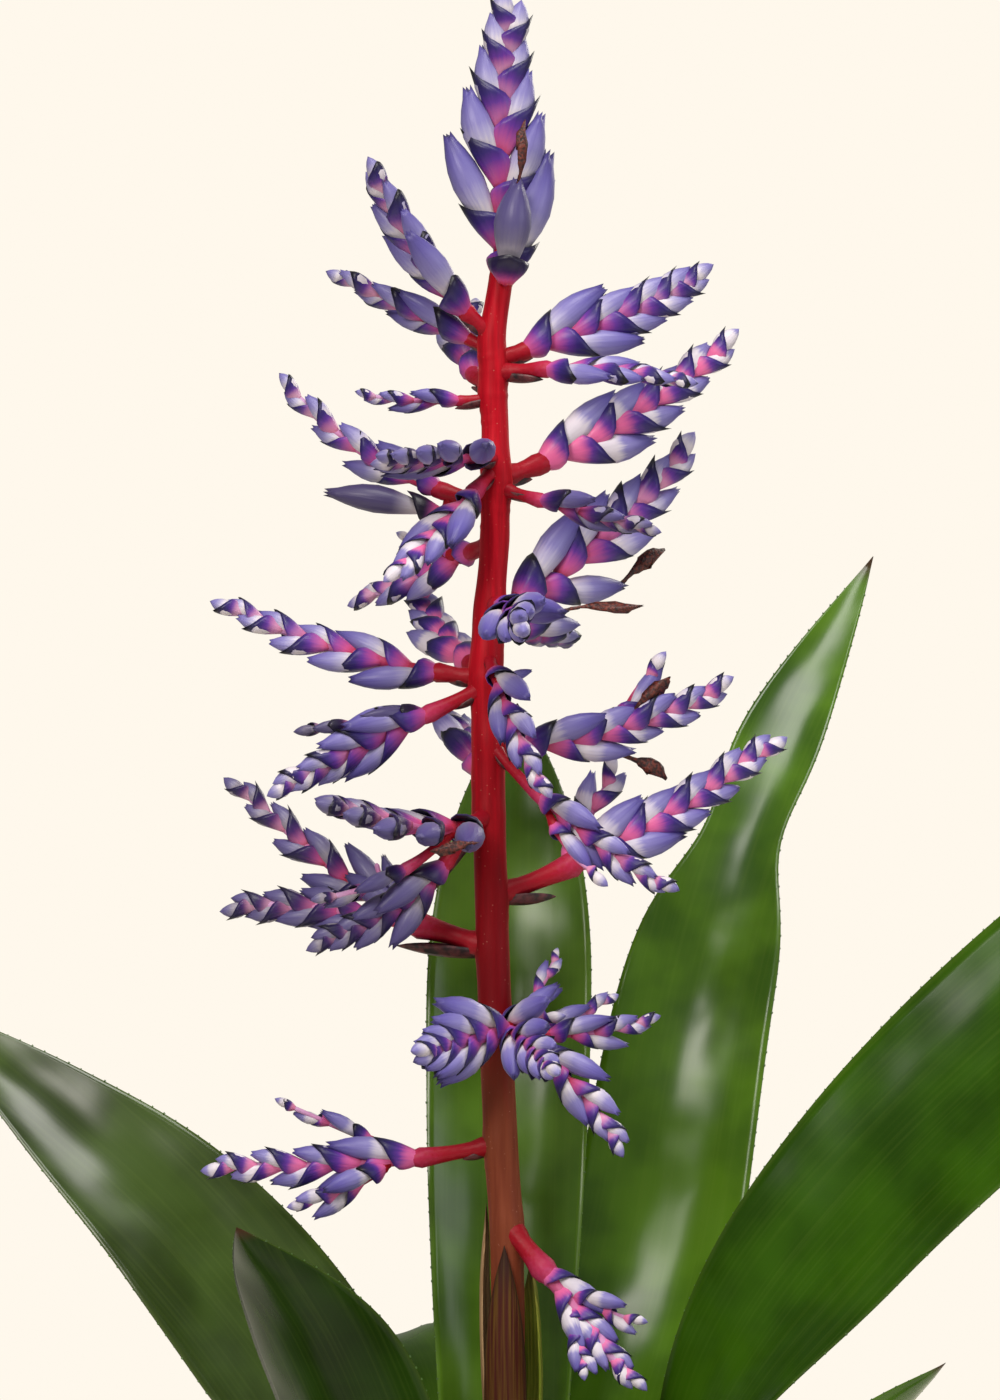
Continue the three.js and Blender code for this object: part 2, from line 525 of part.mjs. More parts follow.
// A bract with its point on the outer side and, standing out of it, the calyx. The flowers near the
// tip of a spike are smaller and plainer.
function flower(root, along, outer, length, half, share) {
  const full = share < FLOWER.full;
  const tipSides = share > FLOWER.plain ? 3 : 4;
  const sides = full ? 5 : tipSides;
  const place = (part) => root.clone().addScaledVector(along, part * length);
  const lip = Array.from({ length: sides }, (unused, side) => {
    const facing = Math.cos((2 * Math.PI * side) / sides);
    const width = half * (1 + FLOWER.inner * Math.min(facing, 0));
    return ring(place(FLOWER.lip + FLOWER.lipSlant * facing), outer, along, width, sides)[side];
  });
  const rings = [lip];
  if (full) rings.push(ring(place(FLOWER.shoulder), outer, along, FLOWER.shoulderWidth * half, sides));
  return loft(rings, place(-FLOWER.sunk), place(1));
}

// A dried corolla, twisted and bent, at the mouth of a calyx.
function driedCorolla(mouth, along, outer) {
  const place = (part) => mouth.clone().addScaledVector(along, part * COROLLA.length);
  const end = place(1).addScaledVector(outer, COROLLA.lean * COROLLA.length);
  return loft([
    ring(mouth, outer, along, COROLLA.mouth, COROLLA.sides),
    ring(place(COROLLA.swell), outer, along, COROLLA.belly, COROLLA.sides),
  ], place(-COROLLA.root), end);
}

// The axes of a branch's spikes: the first starts in the flower stalk, the others on the first.
function spikeCurves(branch) {
  const curves = [];
  branch.spikes.forEach(({ axis, from }) => {
    const points = axis.map(vector);
    if (curves.length) points.unshift(curves[0].getPoint(from));
    curves.push(new THREE.QuadraticBezierCurve3(...points));
  });
  return curves;
}

// The bare stalk and, from the first flower on, the flat core that the bracts' bases make.
function spikeCore(spec, curve, hint, longest) {
  const halvesAt = (place) => {
    const stalk = spec.stalk * lerp(1, CORE.stalkTaper, Math.min(place / spec.bare, 1));
    const along = Math.max(0, (place - spec.bare) / (1 - spec.bare));
    const fill = smoothstep(along, 0, CORE.full);
    const wide = longest * lerp(CORE.wide[0], CORE.wide[1], along);
    const thick = longest * lerp(CORE.thick[0], CORE.thick[1], along);
    return [lerp(stalk, wide, fill), lerp(stalk, thick, fill)];
  };
  const shares = spec.flowers > CORE.bentFrom ? [CORE.full, CORE.bend, CORE.last] : [CORE.full, CORE.last];
  const places = [0, spec.bare, ...shares.map((share) => lerp(spec.bare, 1, share))];
  return taperedTube(curve, hint, places, halvesAt, CORE.sides);
}

function spikeSolids(spec, curve) {
  const hint = vector(spec.ranks);
  const longest = FLOWER.length * spec.size;
  const reach = curve.getLength();
  const solids = [solid(spikeCore(spec, curve, hint, longest))];
  const lastPlace = Math.max(spec.bare, 1 - (FLOWER.pastEnd * FLOWER.last * longest) / reach);
  for (let index = 0; index < spec.flowers; index += 1) {
    const share = spec.flowers > 1 ? index / (spec.flowers - 1) : 0;
    const place = lerp(spec.bare, lastPlace, share * (1 + FLOWER.crowding * (1 - share)));
    const tangent = curve.getTangent(place);
    const rank = squareTo(hint, tangent).multiplyScalar(index % 2 ? -1 : 1);
    const spread = deg(lerp(spec.spread ?? FLOWER.spread, FLOWER.lastSpread, share));
    const along = tangent.clone().multiplyScalar(Math.cos(spread)).addScaledVector(rank, Math.sin(spread));
    const outer = squareTo(rank, along);
    const extra = spec.flowers > 2 ? FLOWER.firstLong * Math.max(0, 1 - index / 2) : 0;
    const length = longest * lerp(1, FLOWER.last, share ** FLOWER.fall) * (1 + extra);
    const root = curve.getPoint(place);
    const half = FLOWER.half * spec.size + FLOWER.perLength * length;
    solids.push(solid(flower(root, along, outer, length, half, share)));
    if (spec.dried?.includes(index)) {
      const mouth = root.clone().addScaledVector(along, COROLLA.from * length);
      solids.push(solid(driedCorolla(mouth, along, outer)));
    }
  }
  return solids;
}

// The narrow bract under the root of a branch.
function branchBract(branch, curve) {
  const { stalk } = branch.spikes[0];
  const start = curve.getPoint(BRACT.root).addScaledVector(UP, -0.5 * stalk);
  const end = branch.bract
    ? vector(branch.bract.to)
    : curve.getPoint(0).addScaledVector(curve.getTangent(0), BRACT.length).addScaledVector(UP, -stalk - 1);
  const half = branch.bract?.half ?? BRACT.half;
  const along = end.clone().sub(start).normalize();
  const outer = squareTo(UP, along);
  const across = along.clone().cross(outer);
  const flat = (share) => [1, 2, 3, 4].map((corner) => {
    const direction = corner % 2 ? across : outer;
    const radius = corner % 2 ? half : BRACT.thickness / 2;
    return start.clone().lerp(end, share).addScaledVector(direction, corner > 2 ? radius : -radius);
  });
  return solid(loft([flat(BRACT.broad).reverse()], start, end));
}

const stalkRoom = solid(scape(CLEARANCE));

function branchGeometry(branch) {
  const curves = spikeCurves(branch);
  const solids = branch.spikes.flatMap((spec, index) => spikeSolids(spec, curves[index]));
  if (branch.name !== 'end_spike') solids.push(branchBract(branch, curves[0]));
  const joined = solids.reduce((whole, next) => whole.add(next));
  return geometryOf(mainBody(joined.subtract(stalkRoom)));
}

addPiece('stock', stock(), FINISH.stock);
addPiece('scape', scape(0), FINISH.scape);
SCAPE_BRACTS.forEach((spec) => addPiece(spec.name, blade(spec, SCAPE_BRACT_THICKNESS, 0), FINISH.bract));
LEAVES.forEach((spec) => addPiece(spec.name, blade(spec, LEAF.thickness, LEAF.teeth), FINISH.leaf));
BRANCHES.forEach((branch) => addPiece(branch.name, branchGeometry(branch), FINISH.flower));

export default plant;
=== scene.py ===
"""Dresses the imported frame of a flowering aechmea: leaves, flower stalk, flower sprays and studio."""

import logging
import math
from dataclasses import dataclass, field
from enum import Enum

import bpy
import numpy as np
from mathutils import Matrix, Vector


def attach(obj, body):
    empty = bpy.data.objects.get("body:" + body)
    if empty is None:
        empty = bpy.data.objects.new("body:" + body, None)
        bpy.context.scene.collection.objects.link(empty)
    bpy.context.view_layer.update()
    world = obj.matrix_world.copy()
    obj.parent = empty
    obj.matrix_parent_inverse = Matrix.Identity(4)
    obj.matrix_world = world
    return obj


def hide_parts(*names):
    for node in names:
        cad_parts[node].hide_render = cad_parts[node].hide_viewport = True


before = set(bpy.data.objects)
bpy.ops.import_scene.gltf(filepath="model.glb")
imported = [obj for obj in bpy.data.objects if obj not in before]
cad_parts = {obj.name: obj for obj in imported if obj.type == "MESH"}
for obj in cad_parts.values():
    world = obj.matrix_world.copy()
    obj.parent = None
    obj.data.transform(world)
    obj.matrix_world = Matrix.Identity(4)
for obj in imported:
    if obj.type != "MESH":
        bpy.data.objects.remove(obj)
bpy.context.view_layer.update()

logging.basicConfig(level=logging.INFO, format="%(levelname)s %(message)s")
LOG = logging.getLogger("aechmea")

MM = 0.001
UP = np.array([0.0, 0.0, 1.0])
SEED = 7
TOOTH_LEAN = (0.9, 0.9, 0.9)
TOOTH_SIZES = (0.7, 1.25)
TINY = 1e-12
SRGB_KNEE = 0.04045
SRGB_SLOPE = 12.92
SRGB_OFFSET = 0.055
SRGB_POWER = 2.4
RIPPLE_PEAK = 1.8


# Numbers and curves


def linear(code: str, alpha: float = 1.0) -> tuple[float, float, float, float]:
    """Turns an sRGB hex colour into linear light.

    Args:
        code: The colour, such as "#3f6b1e".
        alpha: Its opacity.

    Returns:
        Red, green, blue and alpha.
    """
    channels = [int(code[i:i + 2], 16) / 255 for i in (1, 3, 5)]
    light = [c / SRGB_SLOPE if c <= SRGB_KNEE else ((c + SRGB_OFFSET) / (1 + SRGB_OFFSET)) ** SRGB_POWER
             for c in channels]
    return (*light, alpha)


def unit(vector: np.ndarray) -> np.ndarray:
    """Scales vectors to length one along their last axis."""
    return vector / np.maximum(np.linalg.norm(vector, axis=-1, keepdims=True), TINY)


def square_to(direction: np.ndarray, tangent: np.ndarray) -> np.ndarray:
    """Returns the part of a direction that is square to a tangent, at unit length."""
    return unit(direction - np.sum(direction * tangent, axis=-1, keepdims=True) * tangent)


def smoothstep(value: np.ndarray | float, low: float, high: float) -> np.ndarray | float:
    """Rises smoothly from 0 at the low edge to 1 at the high edge."""
    share = np.clip((value - low) / (high - low), 0.0, 1.0)
    return share * share * (3 - 2 * share)


def turned(vector: np.ndarray, axis: np.ndarray, angle: np.ndarray) -> np.ndarray:
    """Turns row vectors about unit row axes.

    Args:
        vector: Rows of vectors.
        axis: Rows of unit axes.
        angle: One angle a row, in radians.

    Returns:
        The turned rows.
    """
    cos, sin = np.cos(angle)[:, None], np.sin(angle)[:, None]
    along = np.sum(vector * axis, axis=1, keepdims=True) * axis
    return vector * cos + np.cross(axis, vector) * sin + along * (1 - cos)


def through(points: np.ndarray, shares: np.ndarray) -> tuple[np.ndarray, np.ndarray]:
    """Follows the smooth curve through points, each span taking an equal share.

    Args:
        points: The points that the curve passes.
        shares: Places along it, from 0 to 1.

    Returns:
        The points at those places and the unit tangents.
    """
    ends = np.vstack([2 * points[0] - points[1], points, 2 * points[-1] - points[-2]])
    place = np.clip(shares, 0, 1) * (len(points) - 1)
    span = np.minimum(place.astype(int), len(points) - 2)
    t = (place - span)[:, None]
    a, b, c, d = (ends[span + step] for step in range(4))
    first, second = 0.5 * (c - a), 0.5 * (d - b)
    cubic = 2 * b - 2 * c + first + second
    square = -3 * b + 3 * c - 2 * first - second
    return b + first * t + square * t**2 + cubic * t**3, unit(first + 2 * square * t + 3 * cubic * t**2)


def bent(points: np.ndarray, shares: np.ndarray) -> tuple[np.ndarray, np.ndarray]:
    """Follows the bend that three points pull, with the tangents.

    Args:
        points: Its start, the point that pulls it and its end.
        shares: Places along it, from 0 to 1.

    Returns:
        The points at those places and the unit tangents.
    """
    t = shares[:, None]
    a, b, c = points
    return (1 - t) ** 2 * a + 2 * t * (1 - t) * b + t**2 * c, unit((1 - t) * (b - a) + t * (c - b))


def ripple(shares: np.ndarray, rng: np.random.Generator, waves: int) -> np.ndarray:
    """Adds up a few random waves along a length.

    Args:
        shares: Places along it, from 0 to 1.
        rng: The random numbers.
        waves: How many waves.

    Returns:
        Heights between about -1 and 1.
    """
    total = np.zeros_like(shares)
    for count in range(1, waves + 1):
        total += rng.normal() * np.sin(2 * math.pi * (count * shares + rng.random())) / count
    return total / RIPPLE_PEAK


def round_angles(sides: int) -> np.ndarray:
    """Returns the angles of points spaced evenly round a ring."""
    return np.arange(sides) * 2 * math.pi / sides


# Meshes


def grid_mesh(name: str, rings: np.ndarray, start: np.ndarray, end: np.ndarray) -> bpy.types.Mesh:
    """Makes a closed skin through rings of points, with a point at each end.

    Args:
        name: The mesh's name.
        rings: Rings of points, each of which joins up with its own start.
        start: The point that closes the first ring.
        end: The point that closes the last ring.

    Returns:
        The mesh, its faces outward for rings that turn left as they rise.
    """
    count, around = rings.shape[:2]
    points = np.vstack([rings.reshape(-1, 3), start, end])
    first, last = count * around, count * around + 1
    faces: list[tuple[int, ...]] = []
    for side in range(around):
        after = (side + 1) % around
        faces.append((first, after, side))
        faces.append((last, (count - 1) * around + side, (count - 1) * around + after))
        for ring in range(count - 1):
            low, high = ring * around, (ring + 1) * around
            faces.append((low + side, low + after, high + after, high + side))
    mesh = bpy.data.meshes.new(name)
    mesh.from_pydata(points.tolist(), [], faces)
    mesh.polygons.foreach_set("use_smooth", [True] * len(mesh.polygons))
    return mesh


def mark(mesh: bpy.types.Mesh, name: str, values: np.ndarray) -> None:
    """Stores one number or vector for each point of a mesh.

    Args:
        mesh: The mesh.
        name: The attribute's name.
        values: A row or a number for each point.
    """
    flat = np.asarray(values)
    kinds = {1: ("FLOAT", "value"), 2: ("FLOAT_VECTOR", "vector")}
    kind, key = ("INT", "value") if flat.dtype.kind == "i" else kinds[flat.ndim]
    made = mesh.attributes.new(name, kind, "POINT")
    made.data.foreach_set(key, flat.ravel())


def settled(piece: bpy.types.Object, tree: bpy.types.NodeTree, sizes: dict[str, object]) -> None:
    """Runs a geometry tree on a piece and keeps the result as its plain mesh.

    Args:
        piece: The object.
        tree: The tree.
        sizes: Values for the tree's named inputs.
    """
    growth = piece.modifiers.new(tree.name, "NODES")
    growth.node_group = tree
    for item in tree.interface.items_tree:
        if item.item_type == "SOCKET" and item.in_out == "INPUT" and item.name in sizes:
            growth[item.identifier] = sizes[item.name]
    graph = bpy.context.evaluated_depsgraph_get()
    graph.update()
    before = piece.data
    mesh = bpy.data.meshes.new_from_object(piece.evaluated_get(graph), depsgraph=graph)
    piece.modifiers.clear()
    piece.data = mesh
    mesh.name = piece.name
    bpy.data.meshes.remove(before)


def placed(name: str, mesh: bpy.types.Mesh) -> bpy.types.Object:
    """Puts a mesh into the scene at the origin.

    Args:
        name: The object's name.
        mesh: Its mesh.

    Returns:
        The object.
    """
    piece = bpy.data.objects.new(name, mesh)
    bpy.context.scene.collection.objects.link(piece)
    return piece


def handed_over(piece: bpy.types.Object, slot: str, *nodes: str) -> None:
    """Lets a finished piece stand for its CAD nodes and ride on the plant.

    Args:
        piece: The piece.
        slot: The record's material slot; not used.
        nodes: The CAD nodes that it stands for.
    """
    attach(piece, "root")
    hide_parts(*nodes)
    LOG.info("%s: %d faces", piece.name, len(piece.data.polygons))


# Node trees

Tree = bpy.types.NodeTree
Stops = tuple[tuple[float, str], ...]
Point = tuple[float, float, float]


def add(tree: Tree, kind: str, links: dict | None = None, stops: Stops | None = None,
        **settings: object) -> bpy.types.Node:
    """Adds a node with its settings, links and colour stops.

    Args:
        tree: The tree that it goes in.
        kind: The node's type name.
        links: Socket names or numbers, each with a socket to link or a value.
        stops: Places and hex colours of a colour ramp.
        **settings: The node's own settings.

    Returns:
        The node.
    """
    made = tree.nodes.new(kind)
    for name, value in settings.items():
        setattr(made, name, value)
    for name, value in (links or {}).items():
        for source in value if isinstance(value, list) else [value]:
            if isinstance(source, bpy.types.Node):
                source = source.outputs[0]
            if isinstance(source, bpy.types.NodeSocket):
                tree.links.new(source, made.inputs[name])
            else:
                made.inputs[name].default_value = source
    if stops:
        elements = made.color_ramp.elements
        elements[0].position, elements[-1].position = stops[0][0], stops[-1][0]
        for place, _ in stops[1:-1]:
            elements.new(place)
        for element, (_, code) in zip(elements, stops):
            element.color = linear(code)
    return made


def attribute(tree: Tree, name: str) -> bpy.types.NodeSocket:
    """Returns the number that a surface stores under a name."""
    return add(tree, "ShaderNodeAttribute", attribute_name=name).outputs["Fac"]


def blended(tree: Tree, share: object, under: object, over: object) -> bpy.types.NodeSocket:
    """Mixes two colours by a share of the upper one."""
    return add(tree, "ShaderNodeMix", {0: share, 6: under, 7: over}, data_type="RGBA").outputs[2]


def worked(tree: Tree, how: str, first: object, second: object = 0.0,
           third: object = 0.0) -> bpy.types.NodeSocket:
    """Returns a sum, product or other calculation of numbers."""
    return add(tree, "ShaderNodeMath", {0: first, 1: second, 2: third}, operation=how).outputs[0]


def ranged(tree: Tree, value: object, low: float, high: float,
           to: tuple[float, float] = (0, 1)) -> bpy.types.NodeSocket:
    """Maps a number from one range to another, smoothly and held at the ends."""
    links = {0: value, 1: low, 2: high, 3: to[0], 4: to[1]}
    return add(tree, "ShaderNodeMapRange", links, interpolation_type="SMOOTHSTEP").outputs[0]


def ramp(tree: Tree, place: object, stops: Stops) -> bpy.types.NodeSocket:
    """Colours a number by a row of stops."""
    return add(tree, "ShaderNodeValToRGB", {"Fac": place}, stops).outputs[0]


def body_place(tree: Tree) -> bpy.types.NodeSocket:
    """Returns each spot's place on its object, in metres."""
    return add(tree, "ShaderNodeTexCoord").outputs["Object"]


def stretched(tree: Tree, place: object, scale: Point) -> bpy.types.Node:
    """Scales a place by its own number along each axis."""
    return add(tree, "ShaderNodeMapping", {"Vector": place, "Scale": scale})


def noise(tree: Tree, place: object, scale: float, detail: float = 2.0) -> bpy.types.NodeSocket:
    """Returns soft noise at a place."""
    return add(tree, "ShaderNodeTexNoise", {"Vector": place, "Scale": scale, "Detail": detail}).outputs[0]


def tree_for(name: str) -> tuple[bpy.types.Material, Tree]:
    """Makes a material with an empty tree.

    Args:
        name: The material's name.

    Returns:
        The material and its tree.
    """
    finish = bpy.data.materials.new(name)
    finish.use_nodes = True
    finish.node_tree.nodes.clear()
    return finish, finish.node_tree


def shaded(tree: Tree, surface: dict[str, object], bump: object = None, depth: float = 0.0) -> None:
    """Ends a material in its shader, with bump where it has one.

    Args:
        tree: The material's tree.
        surface: The shader's sockets.
        bump: The height, or nothing.
        depth: How deep the bump is, in metres.
    """
    if bump is not None:
        surface["Normal"] = add(tree, "ShaderNodeBump", {"Height": bump, "Distance": depth})
    shader = add(tree, "ShaderNodeBsdfPrincipled", surface)
    add(tree, "ShaderNodeOutputMaterial", {"Surface": shader})


# Finishes


@dataclass(frozen=True)
class LeafSkin:
    """Living strap leaf: tough green skin with a thin wax, fine parallel veins, a paler margin and painted
    shade towards its foot.
    """

    name: str = "aechmea_leaf_cuticle"
    deep: str = "#30500e"
    fresh: str = "#4e7414"
    yellow: str = "#7d9440"
    # shade is the colour of the painted shade on the leaf's lower part.
    shade: str = "#162a03"
    base: str = "#3c3a1c"
    spine: str = "#3a2616"
    vein_mm: float = 1.1
    vein_stretch: float = 9.0
    vein_share: float = 0.05
    blotch_mm: float = 38.0
    margin_share: float = 0.1
    painted_shading_share: float = 0.55
    base_share: float = 0.8
    wave_mm: float = 26.0
    wave_stretch: float = 0.55
    wave_rise: float = 9.0
    vein_rise: float = 0.03
    bump_m: float = 0.0003
    roughness: float = 0.23
    rough_by: float = 0.12
    wax: float = 0.34

    def material(self) -> bpy.types.Material:
        """Builds the material: the eye sees glossy green with lengthwise lines and soft pale bloom, darkened
        towards the foot by painted shade.

        Returns:
            The material.
        """
        finish, tree = tree_for(self.name)
        across, along = attribute(tree, "across"), attribute(tree, "along")
        place = add(tree, "ShaderNodeUVMap", uv_map="Blade")
        veins = noise(tree, stretched(tree, place, (1 / (self.vein_mm * MM), self.vein_stretch, 1)), 1.0)
        blotch = noise(tree, body_place(tree), 1 / (self.blotch_mm * MM), 3.0)
        edge = worked(tree, "ABSOLUTE", across)
        green = blended(tree, ranged(tree, blotch, 0.35, 0.68), linear(self.deep), linear(self.fresh))
        layers = (
            (ranged(tree, veins, 0.42, 0.75, (0, self.vein_share)), self.yellow),
            (ranged(tree, edge, 0.94, 1.0, (0, self.margin_share)), self.yellow),
            # Painted shade: the green darkens from midway down to the leaf's foot, where the rosette shades
            # it.
            (ranged(tree, along, 0.45, 0.05, (0, self.painted_shading_share)), self.shade),
            (ranged(tree, along, 0.16, 0.0, (0, self.base_share)), self.base),
            (ranged(tree, along, 0.975, 0.995), self.spine),
        )
        for share, over in layers:
            green = blended(tree, share, green, linear(over))
        smooth = self.roughness - self.rough_by / 2
        sheen = worked(tree, "MULTIPLY_ADD", blotch, self.rough_by, smooth)
        wide = 1 / (self.wave_mm * MM)
        swell = noise(tree, stretched(tree, place, (wide, self.wave_stretch * wide, 1)), 1.0, 1.0)
        ridges = worked(tree, "MULTIPLY", veins, self.vein_rise)
        height = worked(tree, "MULTIPLY_ADD", swell, self.wave_rise, ridges)
        surface = {"Base Color": green, "Roughness": sheen, "Specular IOR Level": self.wax}
        shaded(tree, surface, height, self.bump_m)
        return finish


@dataclass(frozen=True)
class BractSkin:
    """Papery scape bract: drying tissue with lengthwise ribs and darker streaks."""

    name: str
    ground: str
    streak: str
    tip: str
    tip_share: float = 0.85
    rib_mm: float = 0.9
    rib_stretch: float = 22.0
    roughness: float = 0.6
    shine: float = 0.2
    bump_m: float = 0.0005

    def material(self) -> bpy.types.Material:
        """Builds the material: the eye sees matt ribs and two drying colours that run lengthwise.

        Returns:
            The material.
        """
        finish, tree = tree_for(self.name)
        place = add(tree, "ShaderNodeUVMap", uv_map="Blade")
        lines = stretched(tree, place, (1 / (self.rib_mm * MM), self.rib_stretch, 1))
        ribs = noise(tree, lines, 1.0, 3.0)
        colour = blended(tree, ranged(tree, ribs, 0.4, 0.64), linear(self.ground), linear(self.streak))
        dry = ranged(tree, attribute(tree, "along"), 0.72, 1.0, (0, self.tip_share))
        colour = blended(tree, dry, colour, linear(self.tip))
        surface = {"Base Color": colour, "Roughness": self.roughness, "Specular IOR Level": self.shine}
        shaded(tree, surface, ribs, self.bump_m)
        return finish


@dataclass(frozen=True)
class StalkSkin:
    """Flower stalk: crimson, waxy and speckled above, dull brownish red near the leaves."""

    name: str = "aechmea_crimson_stalk"
    crimson: str = "#a40418"
    bright: str = "#bc0a20"
    shadow: str = "#8e0214"
    maroon: str = "#5c0006"
    brown: str = "#5e2416"
    tan: str = "#8f4a30"
    fleck: str = "#f2b8a0"
    darkens_at: tuple[float, float] = (0.45, 0.33)
    browns_at: tuple[float, float] = (0.335, 0.295)
    wander_m: float = 0.03
    maroon_share: float = 0.85
    streak_mm: float = 1.6
    streak_stretch: float = 0.06
    fleck_mm: float = 2.2
    fleck_share: float = 0.16
    roughness: float = 0.5
    shine: float = 0.14
    scurf: float = 0.35
    scurf_roughness: float = 0.35
    scurf_tint: str = "#f07064"
    bump_m: float = 0.00012

    def material(self) -> bpy.types.Material:
        """Builds the material: the eye sees a glossy red stem with pale scurf dots that browns below.

        Returns:
            The material.
        """
        finish, tree = tree_for(self.name)
        body = body_place(tree)
        stretch = 1 / (self.streak_mm * MM)
        run = stretched(tree, body, (stretch, stretch, self.streak_stretch * stretch))
        streaks = noise(tree, run, 1.0, 3.0)
        red = ramp(tree, streaks, ((0.3, self.shadow), (0.5, self.crimson), (0.75, self.bright)))
        height = add(tree, "ShaderNodeSeparateXYZ", {"Vector": body}).outputs["Z"]
        dark = ranged(tree, height, *self.darkens_at, (0, self.maroon_share))
        red = blended(tree, dark, red, linear(self.maroon))
        dull = blended(tree, streaks, linear(self.brown), linear(self.tan))
        wander = worked(tree, "MULTIPLY_ADD", streaks, self.wander_m, height)
        low, high = (edge + self.wander_m / 2 for edge in self.browns_at)
        red = blended(tree, ranged(tree, wander, low, high), red, dull)
        dots = add(tree, "ShaderNodeTexVoronoi", {"Vector": body, "Scale": 1 / (self.fleck_mm * MM)})
        fleck = ranged(tree, dots.outputs["Distance"], 0.12, 0.05, (0, self.fleck_share))
        red = blended(tree, fleck, red, linear(self.fleck))
        surface = {"Base Color": red, "Roughness": self.roughness, "Specular IOR Level": self.shine,
                   "Sheen Weight": self.scurf, "Sheen Roughness": self.scurf_roughness,
                   "Sheen Tint": linear(self.scurf_tint)}
        shaded(tree, surface, streaks, self.bump_m)
        return finish


@dataclass(frozen=True)
class BranchSkin:
    """Branch stalk: coral red at its root that pales to pink among the flowers."""

    name: str = "aechmea_coral_branch"
    stops: Stops = ((0.0, "#8a0614"), (0.22, "#9c0e24"), (0.36, "#b03058"), (0.6, "#c272a4"),
                    (1.0, "#c0a0c8"))
    streak_mm: float = 1.3
    wander: float = 0.12
    roughness: float = 0.45
    shine: float = 0.2
    bump_m: float = 0.00015

    def material(self) -> bpy.types.Material:
        """Builds the material: the eye sees a waxy stem that goes from coral to pink.

        Returns:
            The material.
        """
        finish, tree = tree_for(self.name)
        streaks = noise(tree, body_place(tree), 1 / (self.streak_mm * MM))
        wander = worked(tree, "MULTIPLY_ADD", streaks, self.wander, attribute(tree, "growth"))
        colour = ramp(tree, worked(tree, "SUBTRACT", wander, self.wander / 2), self.stops)
        surface = {"Base Color": colour, "Roughness": self.roughness, "Specular IOR Level": self.shine}
        shaded(tree, surface, streaks, self.bump_m)
        return finish


@dataclass(frozen=True)
class FlowerSkin:
    """Waxy flower tissue whose colour runs from root to tip, paler or darker from flower to flower."""

    name: str
    stops: Stops
    dark: str
    dark_from: tuple[float, float]
    keel: float
    pale: str
    blush: str
    blush_to: tuple[float, float]
    dusk: str
    dusk_to: tuple[float, float]
    late: float = 0.0
    youth: float = 0.8
    grain: Point = (4.0, 4.0, 1.6)
    grain_apart: float = 37.0
    grain_scale: float = 1.4
    streaky: float = 0.16
    apart: float = 0.14
    lower: float = 0.15
    roughness: float = 0.42
    shine: float = 0.3
    bloom: float = 0.05
    bloom_roughness: float = 0.4
    wax: float = 0.08
    wax_roughness: float = 0.2
    bump_m: float = 0.00014

    def material(self) -> bpy.types.Material:
        """Builds the material: the eye sees a soft bloom, lengthwise streaks and a dark patch by the tip.

        Returns:
            The material.
        """
        finish, tree = tree_for(self.name)
        rise, facing, flank, shade = (attribute(tree, n) for n in ("rise", "facing", "flank", "shade"))
        growth, tone = attribute(tree, "growth"), attribute(tree, "tone")
        wide, deep, far = (worked(tree, "MULTIPLY", way, scale)
                           for way, scale in zip((facing, flank, rise), self.grain))
        far = worked(tree, "MULTIPLY_ADD", shade, self.grain_apart, far)
        place = add(tree, "ShaderNodeCombineXYZ", {"X": wide, "Y": deep, "Z": far})
        streaks = noise(tree, place, self.grain_scale, 3.0)
        shift = worked(tree, "MULTIPLY_ADD", shade, self.apart, -self.lower)
        shift = worked(tree, "MULTIPLY_ADD", streaks, self.streaky, shift)
        risen = worked(tree, "ADD", rise, shift)
        level = worked(tree, "MULTIPLY_ADD", growth, -self.late, risen)
        shares = (
            (ranged(tree, growth, 0.35, 1.0, (0, self.youth)), ranged(tree, rise, 0.5, 0.2), self.pale),
            (ranged(tree, risen, *self.dark_from), ranged(tree, facing, -0.2, 0.9, (1 - self.keel, 1.0)),
             self.dark),
            (ranged(tree, tone, 0.0, 1.0), ranged(tree, level, *self.blush_to), self.blush),
            (ranged(tree, tone, 0.0, -1.0), ranged(tree, rise, *self.dusk_to), self.dusk),
        )
        colour = ramp(tree, level, self.stops)
        for first, second, over in shares:
            colour = blended(tree, worked(tree, "MULTIPLY", first, second), colour, linear(over))
        surface = {"Base Color": colour, "Roughness": self.roughness, "Specular IOR Level": self.shine,
                   "Sheen Weight": self.bloom, "Sheen Roughness": self.bloom_roughness,
                   "Coat Weight": self.wax, "Coat Roughness": self.wax_roughness}
        shaded(tree, surface, streaks, self.bump_m)
        return finish


@dataclass(frozen=True)
class DrySkin:
    """Dead tissue: shrivelled, brown and slightly shiny on its folds."""

    name: str
    dark: str
    light: str
    grain_mm: float = 0.9
    roughness: float = 0.5
    bump_m: float = 0.0004

    def material(self) -> bpy.types.Material:
        """Builds the material: the eye sees crumpled brown with darker folds.

        Returns:
            The material.
        """
        finish, tree = tree_for(self.name)
        folds = noise(tree, body_place(tree), 1 / (self.grain_mm * MM), 4.0)
        colour = blended(tree, ranged(tree, folds, 0.35, 0.7), linear(self.dark), linear(self.light))
        shaded(tree, {"Base Color": colour, "Roughness": self.roughness}, folds, self.bump_m)
        return finish


